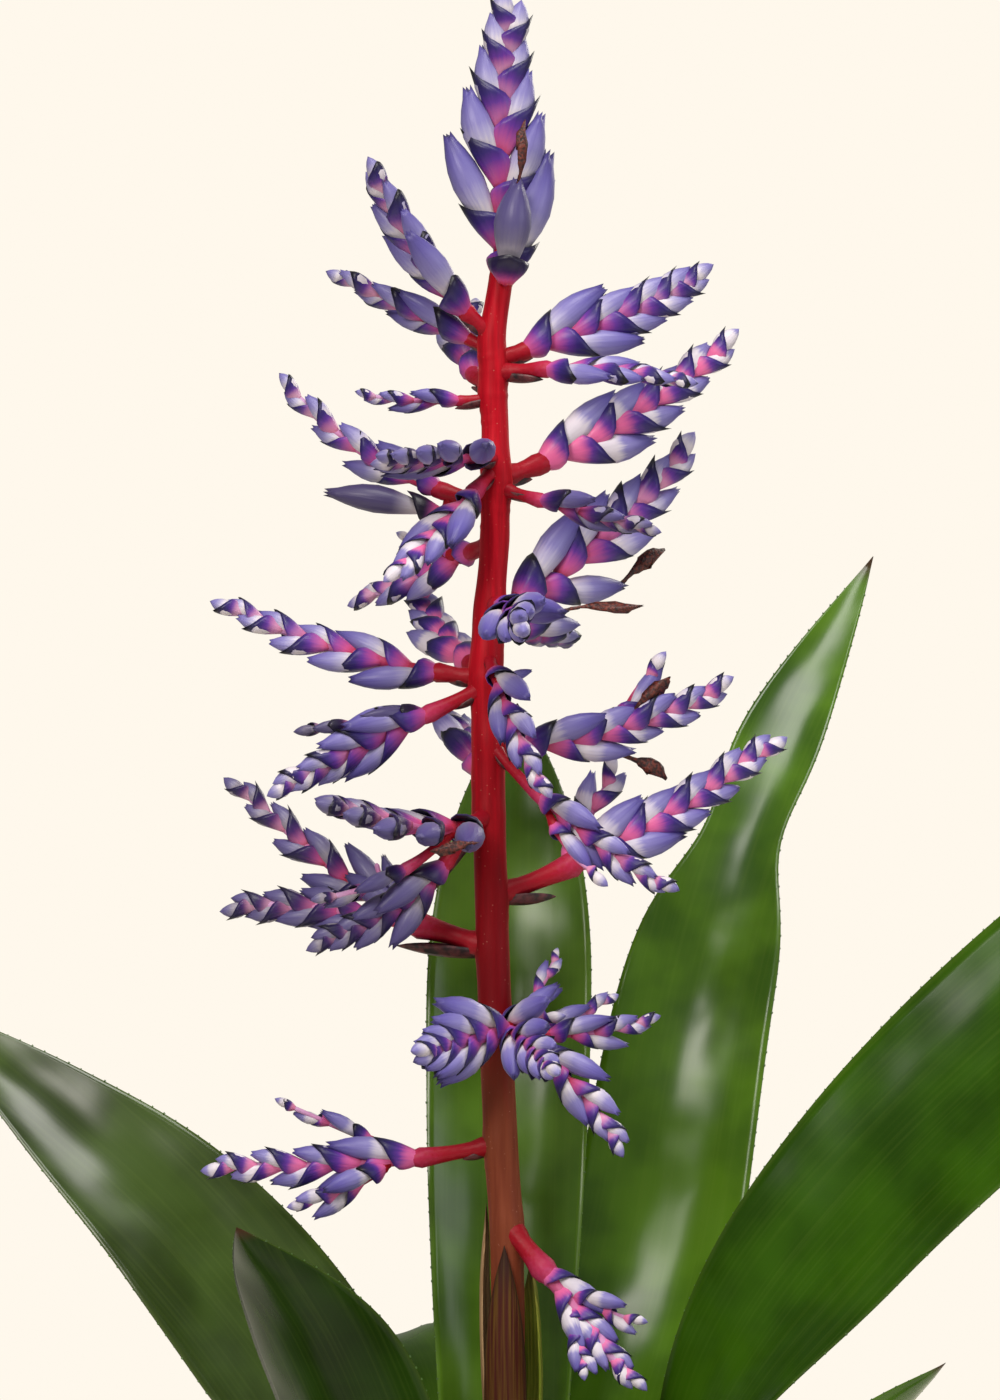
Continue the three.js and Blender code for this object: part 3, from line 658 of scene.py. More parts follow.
@dataclass(frozen=True)
class FloorPaint:
    """Matt cream studio floor that fades into the backdrop."""

    name: str = "cream_studio_paint"
    cream: str = "#fff8ec"
    dust: tuple[float, float, float, float] = (0.8, 0.76, 0.7, 1.0)
    dust_share: float = 0.02
    dust_scale: float = 900.0
    fades_m: tuple[float, float] = (0.55, 1.15)
    roughness: float = 0.9

    def material(self) -> bpy.types.Material:
        """Builds the material: the eye sees an even pale floor with the plant's soft shadow on it.

        Returns:
            The material.
        """
        finish, tree = tree_for(self.name)
        body = body_place(tree)
        reach = add(tree, "ShaderNodeVectorMath", {0: body}, operation="LENGTH").outputs["Value"]
        fade = ranged(tree, reach, *self.fades_m)
        grain = ranged(tree, noise(tree, body, self.dust_scale), 0.3, 0.7, (0, self.dust_share))
        paint = blended(tree, grain, linear(self.cream), self.dust)
        matt = add(tree, "ShaderNodeBsdfPrincipled", {"Base Color": paint, "Roughness": self.roughness})
        clear = add(tree, "ShaderNodeBsdfTransparent")
        both = add(tree, "ShaderNodeMixShader", {0: fade, 1: matt, 2: clear})
        add(tree, "ShaderNodeOutputMaterial", {"Surface": both})
        return finish


# Small shapes that repeat


class Organ(Enum):
    """What grows at a point of a spray, in the order of its number there."""

    BRACT = 0
    CALYX = 1
    COROLLA = 2
    BRANCH_BRACT = 3


@dataclass
class OrganShapes:
    """The shapes of the flower parts, each one unit long along Z with its outer side along X."""

    sides: int = 12
    kinds: dict[Organ, bpy.types.Collection] = field(default_factory=dict)

    def build(self) -> "OrganShapes":
        """Makes every shape and sorts them by kind.

        Returns:
            The shapes themselves.
        """
        makers = {
            Organ.BRACT: [self.bract(0.02), self.bract(0.06)],
            Organ.CALYX: [self.calyx(0.0, 0.0), self.calyx(0.05, 0.12), self.calyx(0.09, -0.1)],
            Organ.COROLLA: [self.corolla(1), self.corolla(2)],
            Organ.BRANCH_BRACT: [self.branch_bract()],
        }
        for kind, meshes in makers.items():
            group = bpy.data.collections.new(f"{kind.name.lower()}_shapes")
            for index, mesh in enumerate(meshes):
                group.objects.link(bpy.data.objects.new(f"{kind.name.lower()}_{index}", mesh))
            self.kinds[kind] = group
        return self

    def dressed(self, name: str, rings: list[np.ndarray], rise: list[np.ndarray], start: tuple,
                end: tuple) -> bpy.types.Mesh:
        """Closes rings into a mesh and stores where each point lies on the shape.

        Args:
            name: The mesh's name.
            rings: The rings of points, from the foot to the tip.
            rise: How far up the shape each ring's points are.
            start: The point that closes the foot.
            end: The point that closes the tip.

        Returns:
            The mesh.
        """
        points, heights = np.array(rings), np.array(rise)
        mesh = grid_mesh(name, points, start, end)
        angle = round_angles(points.shape[1])
        for key, wave in (("facing", np.cos(angle)), ("flank", np.sin(angle))):
            mark(mesh, key, np.append(np.tile(wave, len(points)), [0.0, 0.0]))
        mark(mesh, "rise", np.append(heights.ravel(), [heights.ravel()[0], heights.ravel()[-1]]))
        return mesh

    def bract(self, spine: float) -> bpy.types.Mesh:
        """Makes a boat-shaped floral bract: a narrow foot, a slanting mouth and a spine at its outer tip.

        Args:
            spine: How far the spine stands past the mouth, as a share of the bract.

        Returns:
            The mesh.
        """
        angle = round_angles(self.sides)
        outer = (1 + np.cos(angle)) / 2
        mouth = 0.36 + 0.57 * outer**0.8 + 0.07 * outer**8
        boxy = np.stack([np.sign(w) * np.abs(w) ** 0.7 for w in (np.cos(angle), np.sin(angle))], axis=1)
        walls = [(0.0, 0.34), (0.14, 0.44), (0.3, 0.58), (0.48, 0.74), (0.66, 0.87), (0.84, 0.96),
                 (1.0, 0.98), (0.97, 0.88), (0.6, 0.6)]
        rim, inside = 6, 0.9
        rings, rise = [], []
        for index, (place, width) in enumerate(walls):
            height = place * mouth
            pinch = 1 - 0.45 * outer**3 * smoothstep(place, 0.4, 1.0)
            out = boxy[:, 0] * width + 0.05 * math.sin(math.pi * place) * outer
            side = boxy[:, 1] * width * pinch
            if index == rim:
                height = height + np.where(angle == 0, spine, 0.0)
                out = out + np.where(angle == 0, 0.9 * spine, 0.0)
            rings.append(np.stack([out, side, height], axis=1))
            rise.append(height if index <= rim else np.full(self.sides, inside))
        return self.dressed("bract", rings, rise, (0.0, 0.0, -0.05), (0.05, 0.0, 0.12))

    def calyx(self, crown: float, lean: float) -> bpy.types.Mesh:
        """Makes a long swollen calyx of three sepals that part at its tip.

        Args:
            crown: How far the sepals' points stand up, as a share of the length; 0 is a closed bud.
            lean: How far the tip leans outward, as a share of the half width.

        Returns:
            The mesh.
        """
        angle = round_angles(self.sides)
        thirds = np.cos(3 * (angle - 0.35))
        walls = [(0.03, 0.24), (0.14, 0.42), (0.27, 0.66), (0.41, 0.88), (0.54, 0.98), (0.68, 0.88),
                 (0.8, 0.66), (0.89, 0.43), (0.96, 0.26 if crown else 0.15)]
        rings, rise = [], []
        for place, width in walls:
            width = width * (1 + 0.04 * thirds * place)
            out = np.cos(angle) * width * 0.96 + 0.14 * math.sin(math.pi * place) + lean * place**3
            side = np.sin(angle) * width * 0.9
            height = np.full(self.sides, place)
            if place == walls[-1][0] and crown:
                height = height + crown * np.clip(thirds, 0, 1) ** 2 - 0.02
            rings.append(np.stack([out, side, height], axis=1))
            rise.append(height)
        return self.dressed("calyx", rings, rise, (0.0, 0.0, 0.0), (lean, 0.0, 0.93 if crown else 1.0))

    def corolla(self, seed: int) -> bpy.types.Mesh:
        """Makes a dried, twisted corolla.

        Args:
            seed: What its folds are drawn from.

        Returns:
            The mesh.
        """
        rng = np.random.default_rng(SEED + seed)
        sides, steps = 9, 12
        angle = round_angles(sides)
        rings, rise = [], []
        for step in range(steps):
            place = step / (steps - 1)
            swell = 0.26 + 0.74 * math.sin(math.pi * min(max(place - 0.22, 0) / 0.8, 1)) ** 1.3 - 0.1 * place
            width = swell * (1 + 0.3 * np.cos(3 * angle + 4.6 * place) + 0.14 * rng.normal(size=sides))
            out = np.cos(angle) * width * 0.95 + 0.35 * math.sin(4.2 * place + seed)
            side = np.sin(angle) * width * 0.75 + 0.2 * math.sin(6.0 * place)
            rings.append(np.stack([out, side, place + 0.04 * rng.normal(size=sides)], axis=1))
            rise.append(np.full(sides, place))
        start, end = rings[0].mean(axis=0) - [0, 0, 0.15], rings[-1].mean(axis=0) + [0, 0, 0.03]
        return self.dressed("corolla", rings, rise, start, end)

    def branch_bract(self) -> bpy.types.Mesh:
        """Makes the narrow keeled bract that grows under the root of a branch.

        Returns:
            The mesh.
        """
        angle = round_angles(self.sides)
        rings, rise = [], []
        for place in np.linspace(0.02, 0.98, 12):
            width = 1.05 * math.sin(math.pi * min(0.2 + 0.8 * place, 1)) ** 0.7
            wings = 1.15 * np.sin(angle) ** 2 * width
            out = 0.3 * np.cos(angle) * width - wings + 0.3 * math.sin(math.pi * place)
            side = np.sin(angle) * width
            rings.append(np.stack([out, side, np.full(self.sides, place)], axis=1))
            rise.append(np.full(self.sides, place))
        return self.dressed("branch_bract", rings, rise, (0.0, 0.0, 0.0), (0.0, 0.0, 1.0))


# Geometry trees


def opened(tree: Tree, sockets: dict[str, str]) -> bpy.types.Node:
    """Gives a geometry tree its named inputs and its output.

    Args:
        tree: The tree.
        sockets: Each input's name and socket type.

    Returns:
        The input node.
    """
    tree.interface.new_socket("Geometry", in_out="OUTPUT", socket_type="NodeSocketGeometry")
    for name, kind in {"Geometry": "NodeSocketGeometry", **sockets}.items():
        tree.interface.new_socket(name, in_out="INPUT", socket_type=kind)
    return tree.nodes.new("NodeGroupInput")


def stored(tree: Tree, name: str, data_type: str) -> bpy.types.Node:
    """Reads a value that the points carry."""
    return add(tree, "GeometryNodeInputNamedAttribute", {"Name": name}, data_type=data_type)


def small_turn(tree: Tree, reach: object, seed: object) -> bpy.types.Node:
    """Draws a small random turn.

    Args:
        tree: The geometry tree.
        reach: How far it turns about each axis at most, in radians.
        seed: The seed.

    Returns:
        The node that gives the turn.
    """
    back = worked(tree, "MULTIPLY", reach, -1.0)
    low, high = (add(tree, "ShaderNodeCombineXYZ", {axis: end for axis in range(3)}) for end in (back, reach))
    drawn = add(tree, "FunctionNodeRandomValue", {0: low, 1: high, 8: seed}, data_type="FLOAT_VECTOR")
    return add(tree, "FunctionNodeEulerToRotation", {0: drawn})


def spray_tree() -> Tree:
    """Builds the tree that grows a spray: stalks along its edges and organs on its loose points.

    Returns:
        The tree, with the organs' shapes and finishes, the stalk's sides and the seed as inputs.
    """
    tree = bpy.data.node_groups.new("grow_spray", "GeometryNodeTree")
    sockets = {"Stalk Finish": "NodeSocketMaterial", "Stalk Sides": "NodeSocketInt",
               "Sway": "NodeSocketFloat", "Seed": "NodeSocketInt"}
    for kind in Organ:
        sockets[f"{kind.name} Shapes"] = "NodeSocketCollection"
        sockets[f"{kind.name} Finish"] = "NodeSocketMaterial"
    given = opened(tree, sockets).outputs
    path = add(tree, "GeometryNodeMeshToCurve", {"Mesh": given["Geometry"]})
    circle = add(tree, "GeometryNodeCurvePrimitiveCircle", {
        "Resolution": given["Stalk Sides"], "Radius": 1.0})
    stalk = add(tree, "GeometryNodeCurveToMesh", {
        "Curve": path, "Profile Curve": circle, "Scale": stored(tree, "girth", "FLOAT"), "Fill Caps": True})
    grown = [add(tree, "GeometryNodeSetMaterial", {"Geometry": stalk, "Material": given["Stalk Finish"]})]
    sway = small_turn(tree, given["Sway"], given["Seed"])
    turn = add(tree, "FunctionNodeEulerToRotation", {0: stored(tree, "turn", "FLOAT_VECTOR")})
    turn = add(tree, "FunctionNodeRotateRotation", {"Rotation": turn, "Rotate By": sway},
               rotation_space="LOCAL")
    for kind in Organ:
        same = add(tree, "FunctionNodeCompare", {2: stored(tree, "organ", "INT"), 3: kind.value},
                   data_type="INT", operation="EQUAL")
        spots = add(tree, "GeometryNodeMeshToPoints", {"Mesh": given["Geometry"], "Selection": same})
        shapes = add(tree, "GeometryNodeCollectionInfo", {
            "Collection": given[f"{kind.name} Shapes"], "Separate Children": True})
        set_out = add(tree, "GeometryNodeInstanceOnPoints", {
            "Points": spots, "Instance": shapes, "Pick Instance": True,
            "Instance Index": stored(tree, "variant", "INT"),
            "Rotation": turn, "Scale": stored(tree, "size", "FLOAT_VECTOR")})
        real = add(tree, "GeometryNodeRealizeInstances", {"Geometry": set_out})
        grown.append(add(tree, "GeometryNodeSetMaterial", {
            "Geometry": real, "Material": given[f"{kind.name} Finish"]}))
    joined = add(tree, "GeometryNodeJoinGeometry", {0: grown})
    smooth = add(tree, "GeometryNodeSetShadeSmooth", {"Geometry": joined})
    add(tree, "NodeGroupOutput", {0: smooth})
    return tree


def margin_tree() -> Tree:
    """Builds the tree that sets teeth along a leaf's margins, which are the loose edges of its mesh.

    Returns:
        The tree, with the spacing, the tooth's length and the seed as inputs.
    """
    tree = bpy.data.node_groups.new("toothed_margin", "GeometryNodeTree")
    sockets = {"Spacing": "NodeSocketFloat", "Tooth": "NodeSocketFloat", "Seed": "NodeSocketInt",
               "Tooth Finish": "NodeSocketMaterial"}
    given = opened(tree, sockets).outputs
    edges = add(tree, "GeometryNodeMeshToCurve", {"Mesh": given["Geometry"]})
    spots = add(tree, "GeometryNodeResampleCurve", {"Curve": edges, "Length": given["Spacing"]},
                mode="LENGTH")
    away = stored(tree, "away", "FLOAT_VECTOR")
    tangent = add(tree, "GeometryNodeInputTangent")
    hooked = add(tree, "ShaderNodeVectorMath", {0: tangent, 1: TOOTH_LEAN, 2: away},
                 operation="MULTIPLY_ADD")
    turn = add(tree, "FunctionNodeAxesToRotation", {0: hooked, 1: away}, primary_axis="Z", secondary_axis="X")
    low, high = TOOTH_SIZES
    some = add(tree, "FunctionNodeRandomValue", {2: low, 3: high, 8: given["Seed"]}, data_type="FLOAT")
    size = worked(tree, "MULTIPLY", some.outputs[1], given["Tooth"])
    cone = add(tree, "GeometryNodeMeshCone", {
        "Vertices": 6, "Side Segments": 2, "Radius Top": 0.03, "Radius Bottom": 0.75, "Depth": 1.0})
    teeth = add(tree, "GeometryNodeInstanceOnPoints", {
        "Points": spots, "Instance": cone.outputs["Mesh"], "Rotation": turn, "Scale": size})
    real = add(tree, "GeometryNodeRealizeInstances", {"Geometry": teeth})
    finish = add(tree, "GeometryNodeSetMaterial", {"Geometry": real, "Material": given["Tooth Finish"]})
    add(tree, "NodeGroupOutput", {0: finish})
    return tree


# Leaves and scape bracts


class LeafAgeAndLight(Enum):
    """How old a leaf is, which sets its green and its gloss; the first kind's lighter green is painted light
    on the back leaf, and the last kind's darker green is painted shade on the low front-left leaf.
    """

    YOUNG = "young"
    GROWN = "grown"
    FADED = "faded"
    OLD = "old"
    OLDEST = "oldest"


@dataclass
class StrapLeaf:
    """A channelled blade: its bearing and spine, its widths and how it is cupped and turned."""

    name: str
    bearing: float
    half: float
    broad: float
    point: float
    cup: float
    turn: float
    spine: tuple[tuple[float, float], ...]
    waist: Point = (0.0, 0.0, 1.0)
    middle: float = 0.0
    sheath: float = 18.0
    thickness: float = 1.1
    margin: float = 0.45
    wave: float = 0.7
    rows: int = 96
    strips: int = 20
    seed: int = 0
    age: LeafAgeAndLight = LeafAgeAndLight.GROWN
    row_power: float = 0.94
    turns_over: tuple[float, float] = (0.2, 0.55)
    waves_over: tuple[float, float] = (0.25, 0.6)
    stills_over: tuple[float, float] = (1.0, 0.93)
    edge_ripple: float = 0.012
    tip_mm: float = 0.12
    thins_under_mm: float = 3.0
    toothed_over: tuple[float, float] = (0.1, 0.975)
    margins: bpy.types.Mesh | None = None

    def half_width(self, along: np.ndarray) -> np.ndarray:
        """Works out half the blade's width.

        Args:
            along: Shares of the blade's length.

        Returns:
            Half the width at each of them, in millimetres.
        """
        grown = self.sheath + (self.half - self.sheath) * smoothstep(along, 0, self.broad)
        past = np.clip((along - self.broad) / (1 - self.broad), 0, 1)
        at, depth, reach = self.waist
        ended = self.half * (1 - past**self.point) * (1 - depth * np.exp(-(((along - at) / reach) ** 2)))
        return np.where(along < self.broad, grown, ended)

    def rows_of(self, along: np.ndarray) -> dict[str, np.ndarray]:
        """Works out the blade's middle line, its directions and widths at each row.

        Args:
            along: Each row's share of the blade's length.

        Returns:
            The centre, the way in, the way across, half the width and the cup's angle of each row.
        """
        bearing = math.radians(self.bearing)
        outward = np.array([math.cos(bearing), math.sin(bearing), 0.0])
        points = np.array([outward * distance + UP * up for distance, up in self.spine])
        centre, tangent = through(points, along)
        level = np.tile(np.cross(UP, outward), (len(along), 1))
        turn = math.radians(self.turn) * smoothstep(along, *self.turns_over)
        half = self.half_width(along)
        cup = np.clip(half / np.hypot(centre[:, 0], centre[:, 1]), math.radians(self.cup), 2.4)
        centre[:, 0] += self.middle
        inner = turned(np.cross(tangent, level), tangent, turn)
        across = turned(level, tangent, turn)
        return {"centre": centre, "inner": inner, "across": across, "half": half, "cup": cup}

    def build(self, finish: bpy.types.Material) -> bpy.types.Object:
        """Makes the blade as one closed skin.

        Args:
            finish: Its material.

        Returns:
            The object, in place.
        """
        rng = np.random.default_rng(SEED + 31 * self.seed)
        along = np.linspace(0, 1, self.rows + 1) ** self.row_power
        row = self.rows_of(along)
        side = np.linspace(-1, 1, self.strips + 1)
        wobble = self.wave * smoothstep(along, *self.waves_over) * smoothstep(along, *self.stills_over)
        edge = 1 + self.edge_ripple * np.stack([ripple(along, rng, 9), ripple(along, rng, 9)], axis=1)
        half = np.maximum(row["half"], self.tip_mm)[:, None]
        radius = half / row["cup"][:, None]
        angle = row["cup"][:, None] * side[None, :]
        spread = np.where(side[None, :] < 0, edge[:, :1], edge[:, 1:])
        whole, curled = ripple(along, rng, 3), ripple(along, rng, 5)
        swell = wobble[:, None] * (whole[:, None] + 0.6 * np.outer(curled, side**3))
        middle = (row["centre"][:, None, :]
                  + row["across"][:, None, :] * (radius * np.sin(angle) * spread)[..., None]
                  + row["inner"][:, None, :] * (radius * (1 - np.cos(angle)) + swell)[..., None])
        normal = (row["inner"][:, None, :] * np.cos(angle)[..., None]
                  - row["across"][:, None, :] * np.sin(angle)[..., None])
        thick = self.margin + (self.thickness - self.margin) * (1 - np.abs(side) ** 3)
        slim = np.minimum(1, half / self.thins_under_mm)
        lift = normal * (0.5 * thick[None, :] * slim)[..., None]
        upper, under = middle + lift, middle - lift
        loops = np.concatenate([under, upper[:, ::-1]], axis=1) * MM
        mesh = grid_mesh(self.name, loops, loops[0].mean(axis=0), loops[-1].mean(axis=0))
        sides = np.concatenate([side, side[::-1]])
        both = np.tile(sides, len(along))
        mark(mesh, "across", np.append(both, [0.0, 0.0]))
        mark(mesh, "along", np.append(np.repeat(along, len(sides)), [0.0, 1.0]))
        self.lay_uv(mesh, both, row, len(sides))
        mesh.materials.append(finish)
        self.margins = self.margin_lines(middle, row, along)
        return placed(self.name, mesh)

    def lay_uv(self, mesh: bpy.types.Mesh, sides: np.ndarray, row: dict, width: int) -> None:
        """Lays a map on the blade: real metres across it and along it.

        Args:
            mesh: The blade.
            sides: Where across the blade each point is, from -1 to 1.
            row: The blade's rows.
            width: How many points a row has.
        """
        steps = np.linalg.norm(np.diff(row["centre"], axis=0), axis=1)
        length = np.concatenate([[0], np.cumsum(steps)]) * MM
        spots = np.stack([sides * np.repeat(row["half"], width) * MM, np.repeat(length, width)], axis=1)
        spots = np.vstack([spots, [[0, 0], [0, length[-1]]]])
        layer = mesh.uv_layers.new(name="Blade")
        corners = np.zeros(len(mesh.loops), int)
        mesh.loops.foreach_get("vertex_index", corners)
        layer.data.foreach_set("uv", spots[corners].ravel())

    def margin_lines(self, middle: np.ndarray, row: dict, along: np.ndarray) -> bpy.types.Mesh:
        """Makes the two lines of edges that the teeth stand on, each point with its way out.

        Args:
            middle: The blade's points, a row for each step.
            row: The blade's rows.
            along: Each row's share of the blade's length.

        Returns:
            The mesh of edges.
        """
        low, high = self.toothed_over
        kept = (along > low) & (along < high)
        points, away, edges = [], [], []
        for column, sign in ((0, -1), (-1, 1)):
            first = len(points)
            flat = row["across"] * (sign * np.cos(row["cup"]))[:, None]
            out = flat + row["inner"] * np.sin(row["cup"])[:, None]
            points.extend(middle[kept][:, column] * MM)
            away.extend(out[kept])
            edges.extend((i, i + 1) for i in range(first, len(points) - 1))
        mesh = bpy.data.meshes.new(f"{self.name}_margins")
        mesh.from_pydata([tuple(p) for p in points], edges, [])
        mark(mesh, "away", np.array(away))
        return mesh


OUTER_COURSES = (
    (68, ((28.5, 12.3), (37, 58), (60, 110), (102, 146), (156, 142), (214, 94), (268, 0.4))),
    (198, ((31, 12.3), (40, 55), (64, 102), (108, 134), (162, 128), (212, 82), (256, 0.4))),
    (20, ((33.5, 12.3), (43, 52), (66, 96), (110, 126), (166, 120), (218, 76), (264, 0.4))),
    (262, ((36, 12.3), (45, 48), (68, 88), (112, 115), (166, 108), (216, 66), (260, 0.4))),
    (142, ((38.5, 12.3), (48, 44), (70, 80), (112, 104), (164, 96), (212, 56), (254, 0.4))),
    (318, ((41, 12.3), (50, 40), (72, 72), (112, 92), (162, 84), (208, 48), (248, 0.4))),
)

LEAVES = (
    # leaf_back: its lighter skin is painted light.
    StrapLeaf("leaf_back", 86, 26.5, 0.7, 3, 28, 0,
              ((11, 12.3), (14.5, 100), (22, 190), (36, 275), (54, 350), (78, 424)), sheath=15,
              age=LeafAgeAndLight.YOUNG),
    StrapLeaf("leaf_right_back", 50, 28, 0.46, 2.4, 26, 30,
              ((13.5, 12.3), (20, 105), (46, 185), (75, 255), (98, 335), (133, 402), (190, 472)),
              waist=(0.785, 0.35, 0.055), sheath=16),
    StrapLeaf("leaf_left", 166, 29, 0.55, 1.7, 24, -58,
              ((16, 12.3), (22.5, 90), (35, 163), (60, 216), (98, 262), (141, 299), (186, 333)),
              age=LeafAgeAndLight.FADED),
    StrapLeaf("leaf_right_front", -10, 36.5, 0.74, 1.9, 24, 58,
              ((18.5, 12.3), (26.5, 85), (46, 157), (70, 222), (110, 276), (165, 330), (230, 379.5),
               (292, 411)), sheath=12, age=LeafAgeAndLight.OLD),
    # leaf_left_front: its darker skin is painted shade.
    StrapLeaf("leaf_left_front", -125.6, 27, 0.7, 2.3, 28, 6,
              ((21, 12.3), (28.5, 75), (44, 138), (66, 197), (92, 240), (127, 277)), age=LeafAgeAndLight.OLDEST),
    StrapLeaf("leaf_left_back", 114, 25, 0.5, 1.7, 22, 0,
              ((23.5, 12.3), (32, 80), (46, 150), (72, 208), (102, 222), (148, 194), (192, 136))),
    StrapLeaf("leaf_low_right", -44, 25, 0.55, 1.6, 26, -12,
              ((26, 12.3), (34, 65), (54, 122), (88, 172), (130, 208), (172, 241))),
)

OUTER_LEAVES = tuple(
    StrapLeaf(f"leaf_outer_{index}", bearing, 26, 0.5, 1.7, 20, 0, spine)
    for index, (bearing, spine) in enumerate(OUTER_COURSES, 1)
)

SCAPE_BRACTS = (
    StrapLeaf("scape_bract_front", -98, 8.2, 0.45, 1.8, 70, 0,
              ((6.4, 176), (8.0, 200), (8.8, 225), (8.6, 245), (6.6, 262)),
              middle=2.2, sheath=7, thickness=0.8, margin=0.3, wave=0.25, rows=40, strips=14),
    StrapLeaf("scape_bract_right", 34, 9, 0.45, 1.8, 60, 0,
              ((6.1, 168), (8.6, 189), (11.2, 218), (10.8, 240), (8.8, 257)),
              middle=1.9, sheath=5, thickness=0.8, margin=0.3, wave=0.25, rows=40, strips=14),
    StrapLeaf("scape_bract_left", 164, 5, 0.4, 1.6, 40, 0,
              ((6.4, 205), (7.6, 225), (8.0, 245), (7.4, 262), (6.6, 274)),
              middle=2.2, sheath=5, thickness=0.8, margin=0.3, wave=0.25, rows=36, strips=10),
)


@dataclass
class Rosette:
    """The strap leaves, with the teeth along their margins, and the bracts that clasp the stalk."""

    spacing_mm: float = 4.2
    tooth_mm: float = 0.5
    first_bract_seed: int = 40
    leaves: tuple[StrapLeaf, ...] = LEAVES + OUTER_LEAVES
    bracts: tuple[StrapLeaf, ...] = SCAPE_BRACTS

    def build(self) -> None:
        """Makes every leaf and bract and hands it over."""
        skins = {
            # The first skin's lighter green is painted light on the back leaf; the last skin's darker green
            # is painted shade on the low front-left leaf.
            LeafAgeAndLight.YOUNG: LeafSkin("aechmea_young_leaf_cuticle", "#3c5c14", "#557a20").material(),
            LeafAgeAndLight.GROWN: LeafSkin().material(),
            LeafAgeAndLight.FADED: LeafSkin("aechmea_faded_leaf_cuticle", "#26360e", "#364c14", wax=0.4).material(),
            LeafAgeAndLight.OLD: LeafSkin("aechmea_old_leaf_cuticle", "#1e3a04", "#2e5206", wax=0.14).material(),
            LeafAgeAndLight.OLDEST: LeafSkin("aechmea_oldest_leaf_cuticle", "#142604", "#1e3806", wax=0.1).material(),
        }
        tooth = DrySkin("aechmea_leaf_tooth", "#2c4a0c", "#456a18").material()
        margins = margin_tree()
        for index, leaf in enumerate(self.leaves):
            leaf.seed = index
            piece = leaf.build(skins[leaf.age])
            self.toothed(piece, leaf, margins, tooth)
            handed_over(piece, "leaf", leaf.name)
        looks = (BractSkin("aechmea_maroon_bract", "#42160e", "#5a3c12", "#2a1a12"),
                 BractSkin("aechmea_olive_bract", "#6c7a20", "#94983a", "#5d4a2a"),
                 BractSkin("aechmea_dry_bract", "#8a6a4a", "#b0906a", "#5d4632"))
        for index, (leaf, look) in enumerate(zip(self.bracts, looks)):
            leaf.seed = self.first_bract_seed + index
            handed_over(leaf.build(look.material()), "bract", leaf.name)

    def toothed(self, piece: bpy.types.Object, leaf: StrapLeaf, tree: Tree,
                finish: bpy.types.Material) -> None:
        """Grows the teeth on a leaf's margins and joins them to its blade.

        Args:
            piece: The blade.
            leaf: Its sizes.
            tree: The geometry tree that sets teeth along lines.
            finish: The teeth's material.
        """
        teeth = placed(f"{leaf.name}_teeth", leaf.margins)
        settled(teeth, tree, {"Spacing": self.spacing_mm * MM, "Tooth": self.tooth_mm * MM, "Seed": leaf.seed,
                              "Tooth Finish": finish})
        joined_into(piece, teeth)


def joined_into(piece: bpy.types.Object, other: bpy.types.Object) -> None:
    """Joins another object's mesh into a piece and removes the other."""
    with bpy.context.temp_override(active_object=piece, selected_editable_objects=[piece, other]):
        bpy.ops.object.join()


# Flower stalk, branches and flowers


def tapering_tube(name: str, centre: np.ndarray, tangent: np.ndarray, radius: np.ndarray) -> bpy.types.Mesh:
    """Makes a round tube along a line.

    Args:
        name: The mesh's name.
        centre: The line's points, in millimetres.
        tangent: Its direction at each point.
        radius: The radius for each ring and side, in millimetres.

    Returns:
        The mesh.
    """
    first = square_to(np.tile([1.0, 0, 0], (len(centre), 1)), tangent)
    second = np.cross(tangent, first)
    angle = round_angles(radius.shape[1])
    way = first[:, None, :] * np.cos(angle)[None, :, None] + second[:, None, :] * np.sin(angle)[None, :, None]
    rings = centre[:, None, :] + way * radius[..., None]
    return grid_mesh(name, rings * MM, centre[0] * MM, centre[-1] * MM)


@dataclass
class FlowerStalk:
    """The upright stalk: place across, height and diameter at each step of its course."""

    course: tuple[Point, ...] = (
        (0, 12.3, 11.5), (0.4, 70, 11), (1.4, 140, 10.5), (2.4, 215, 10), (2.0, 263, 10), (0.4, 290, 10.2),
        (-1.6, 335, 10), (-3.2, 390, 9.8), (-3.8, 440, 9.4), (-1.4, 475, 8.4), (-1.4, 505, 8.2),
        (-2.2, 532, 7.8), (0.3, 552, 7.2), (1.0, 566, 3),
    )
    sides: int = 28
    rings: int = 420
    ridge: float = 0.05
    node_swell: float = 0.55
    node_tall: float = 4.5
    scar_rise: float = 0.22
    scar_tall: float = 0.7
    scar_below: float = 5.5
    scar_slant: float = 1.5

    def build(self, joints_at: list[tuple[float, float]]) -> None:
        """Makes the stalk, a little swollen and ringed where each branch leaves it.

        Args:
            joints_at: The height and the bearing of each branch's root.
        """
        steps = np.array(self.course, float)
        along = np.linspace(0, 1, self.rings)
        centre, tangent = through(np.stack([steps[:, 0], 0 * steps[:, 0], steps[:, 1]], axis=1), along)
        radius = np.interp(along * (len(steps) - 1), range(len(steps)), steps[:, 2]) / 2
        angle = round_angles(self.sides)
        grid = np.tile(radius[:, None], (1, self.sides))
        grid += self.ridge * np.cos(3 * angle[None, :] + 5 * along[:, None])
        for height, bearing in joints_at:
            above = centre[:, 2] - height
            near = np.exp(-((above / self.node_tall) ** 2))[:, None]
            toward = 0.5 + 0.5 * np.cos(angle - bearing)[None, :]
            grid += self.node_swell * near * toward
            past_scar = (above + self.scar_below + self.scar_slant * toward.T) / self.scar_tall
            grid += self.scar_rise * np.exp(-(past_scar**2)).T * toward**2
        piece = placed("flower_stalk", tapering_tube("flower_stalk", centre, tangent, grid))
        piece.data.materials.append(StalkSkin().material())
        handed_over(piece, "scape", "scape")


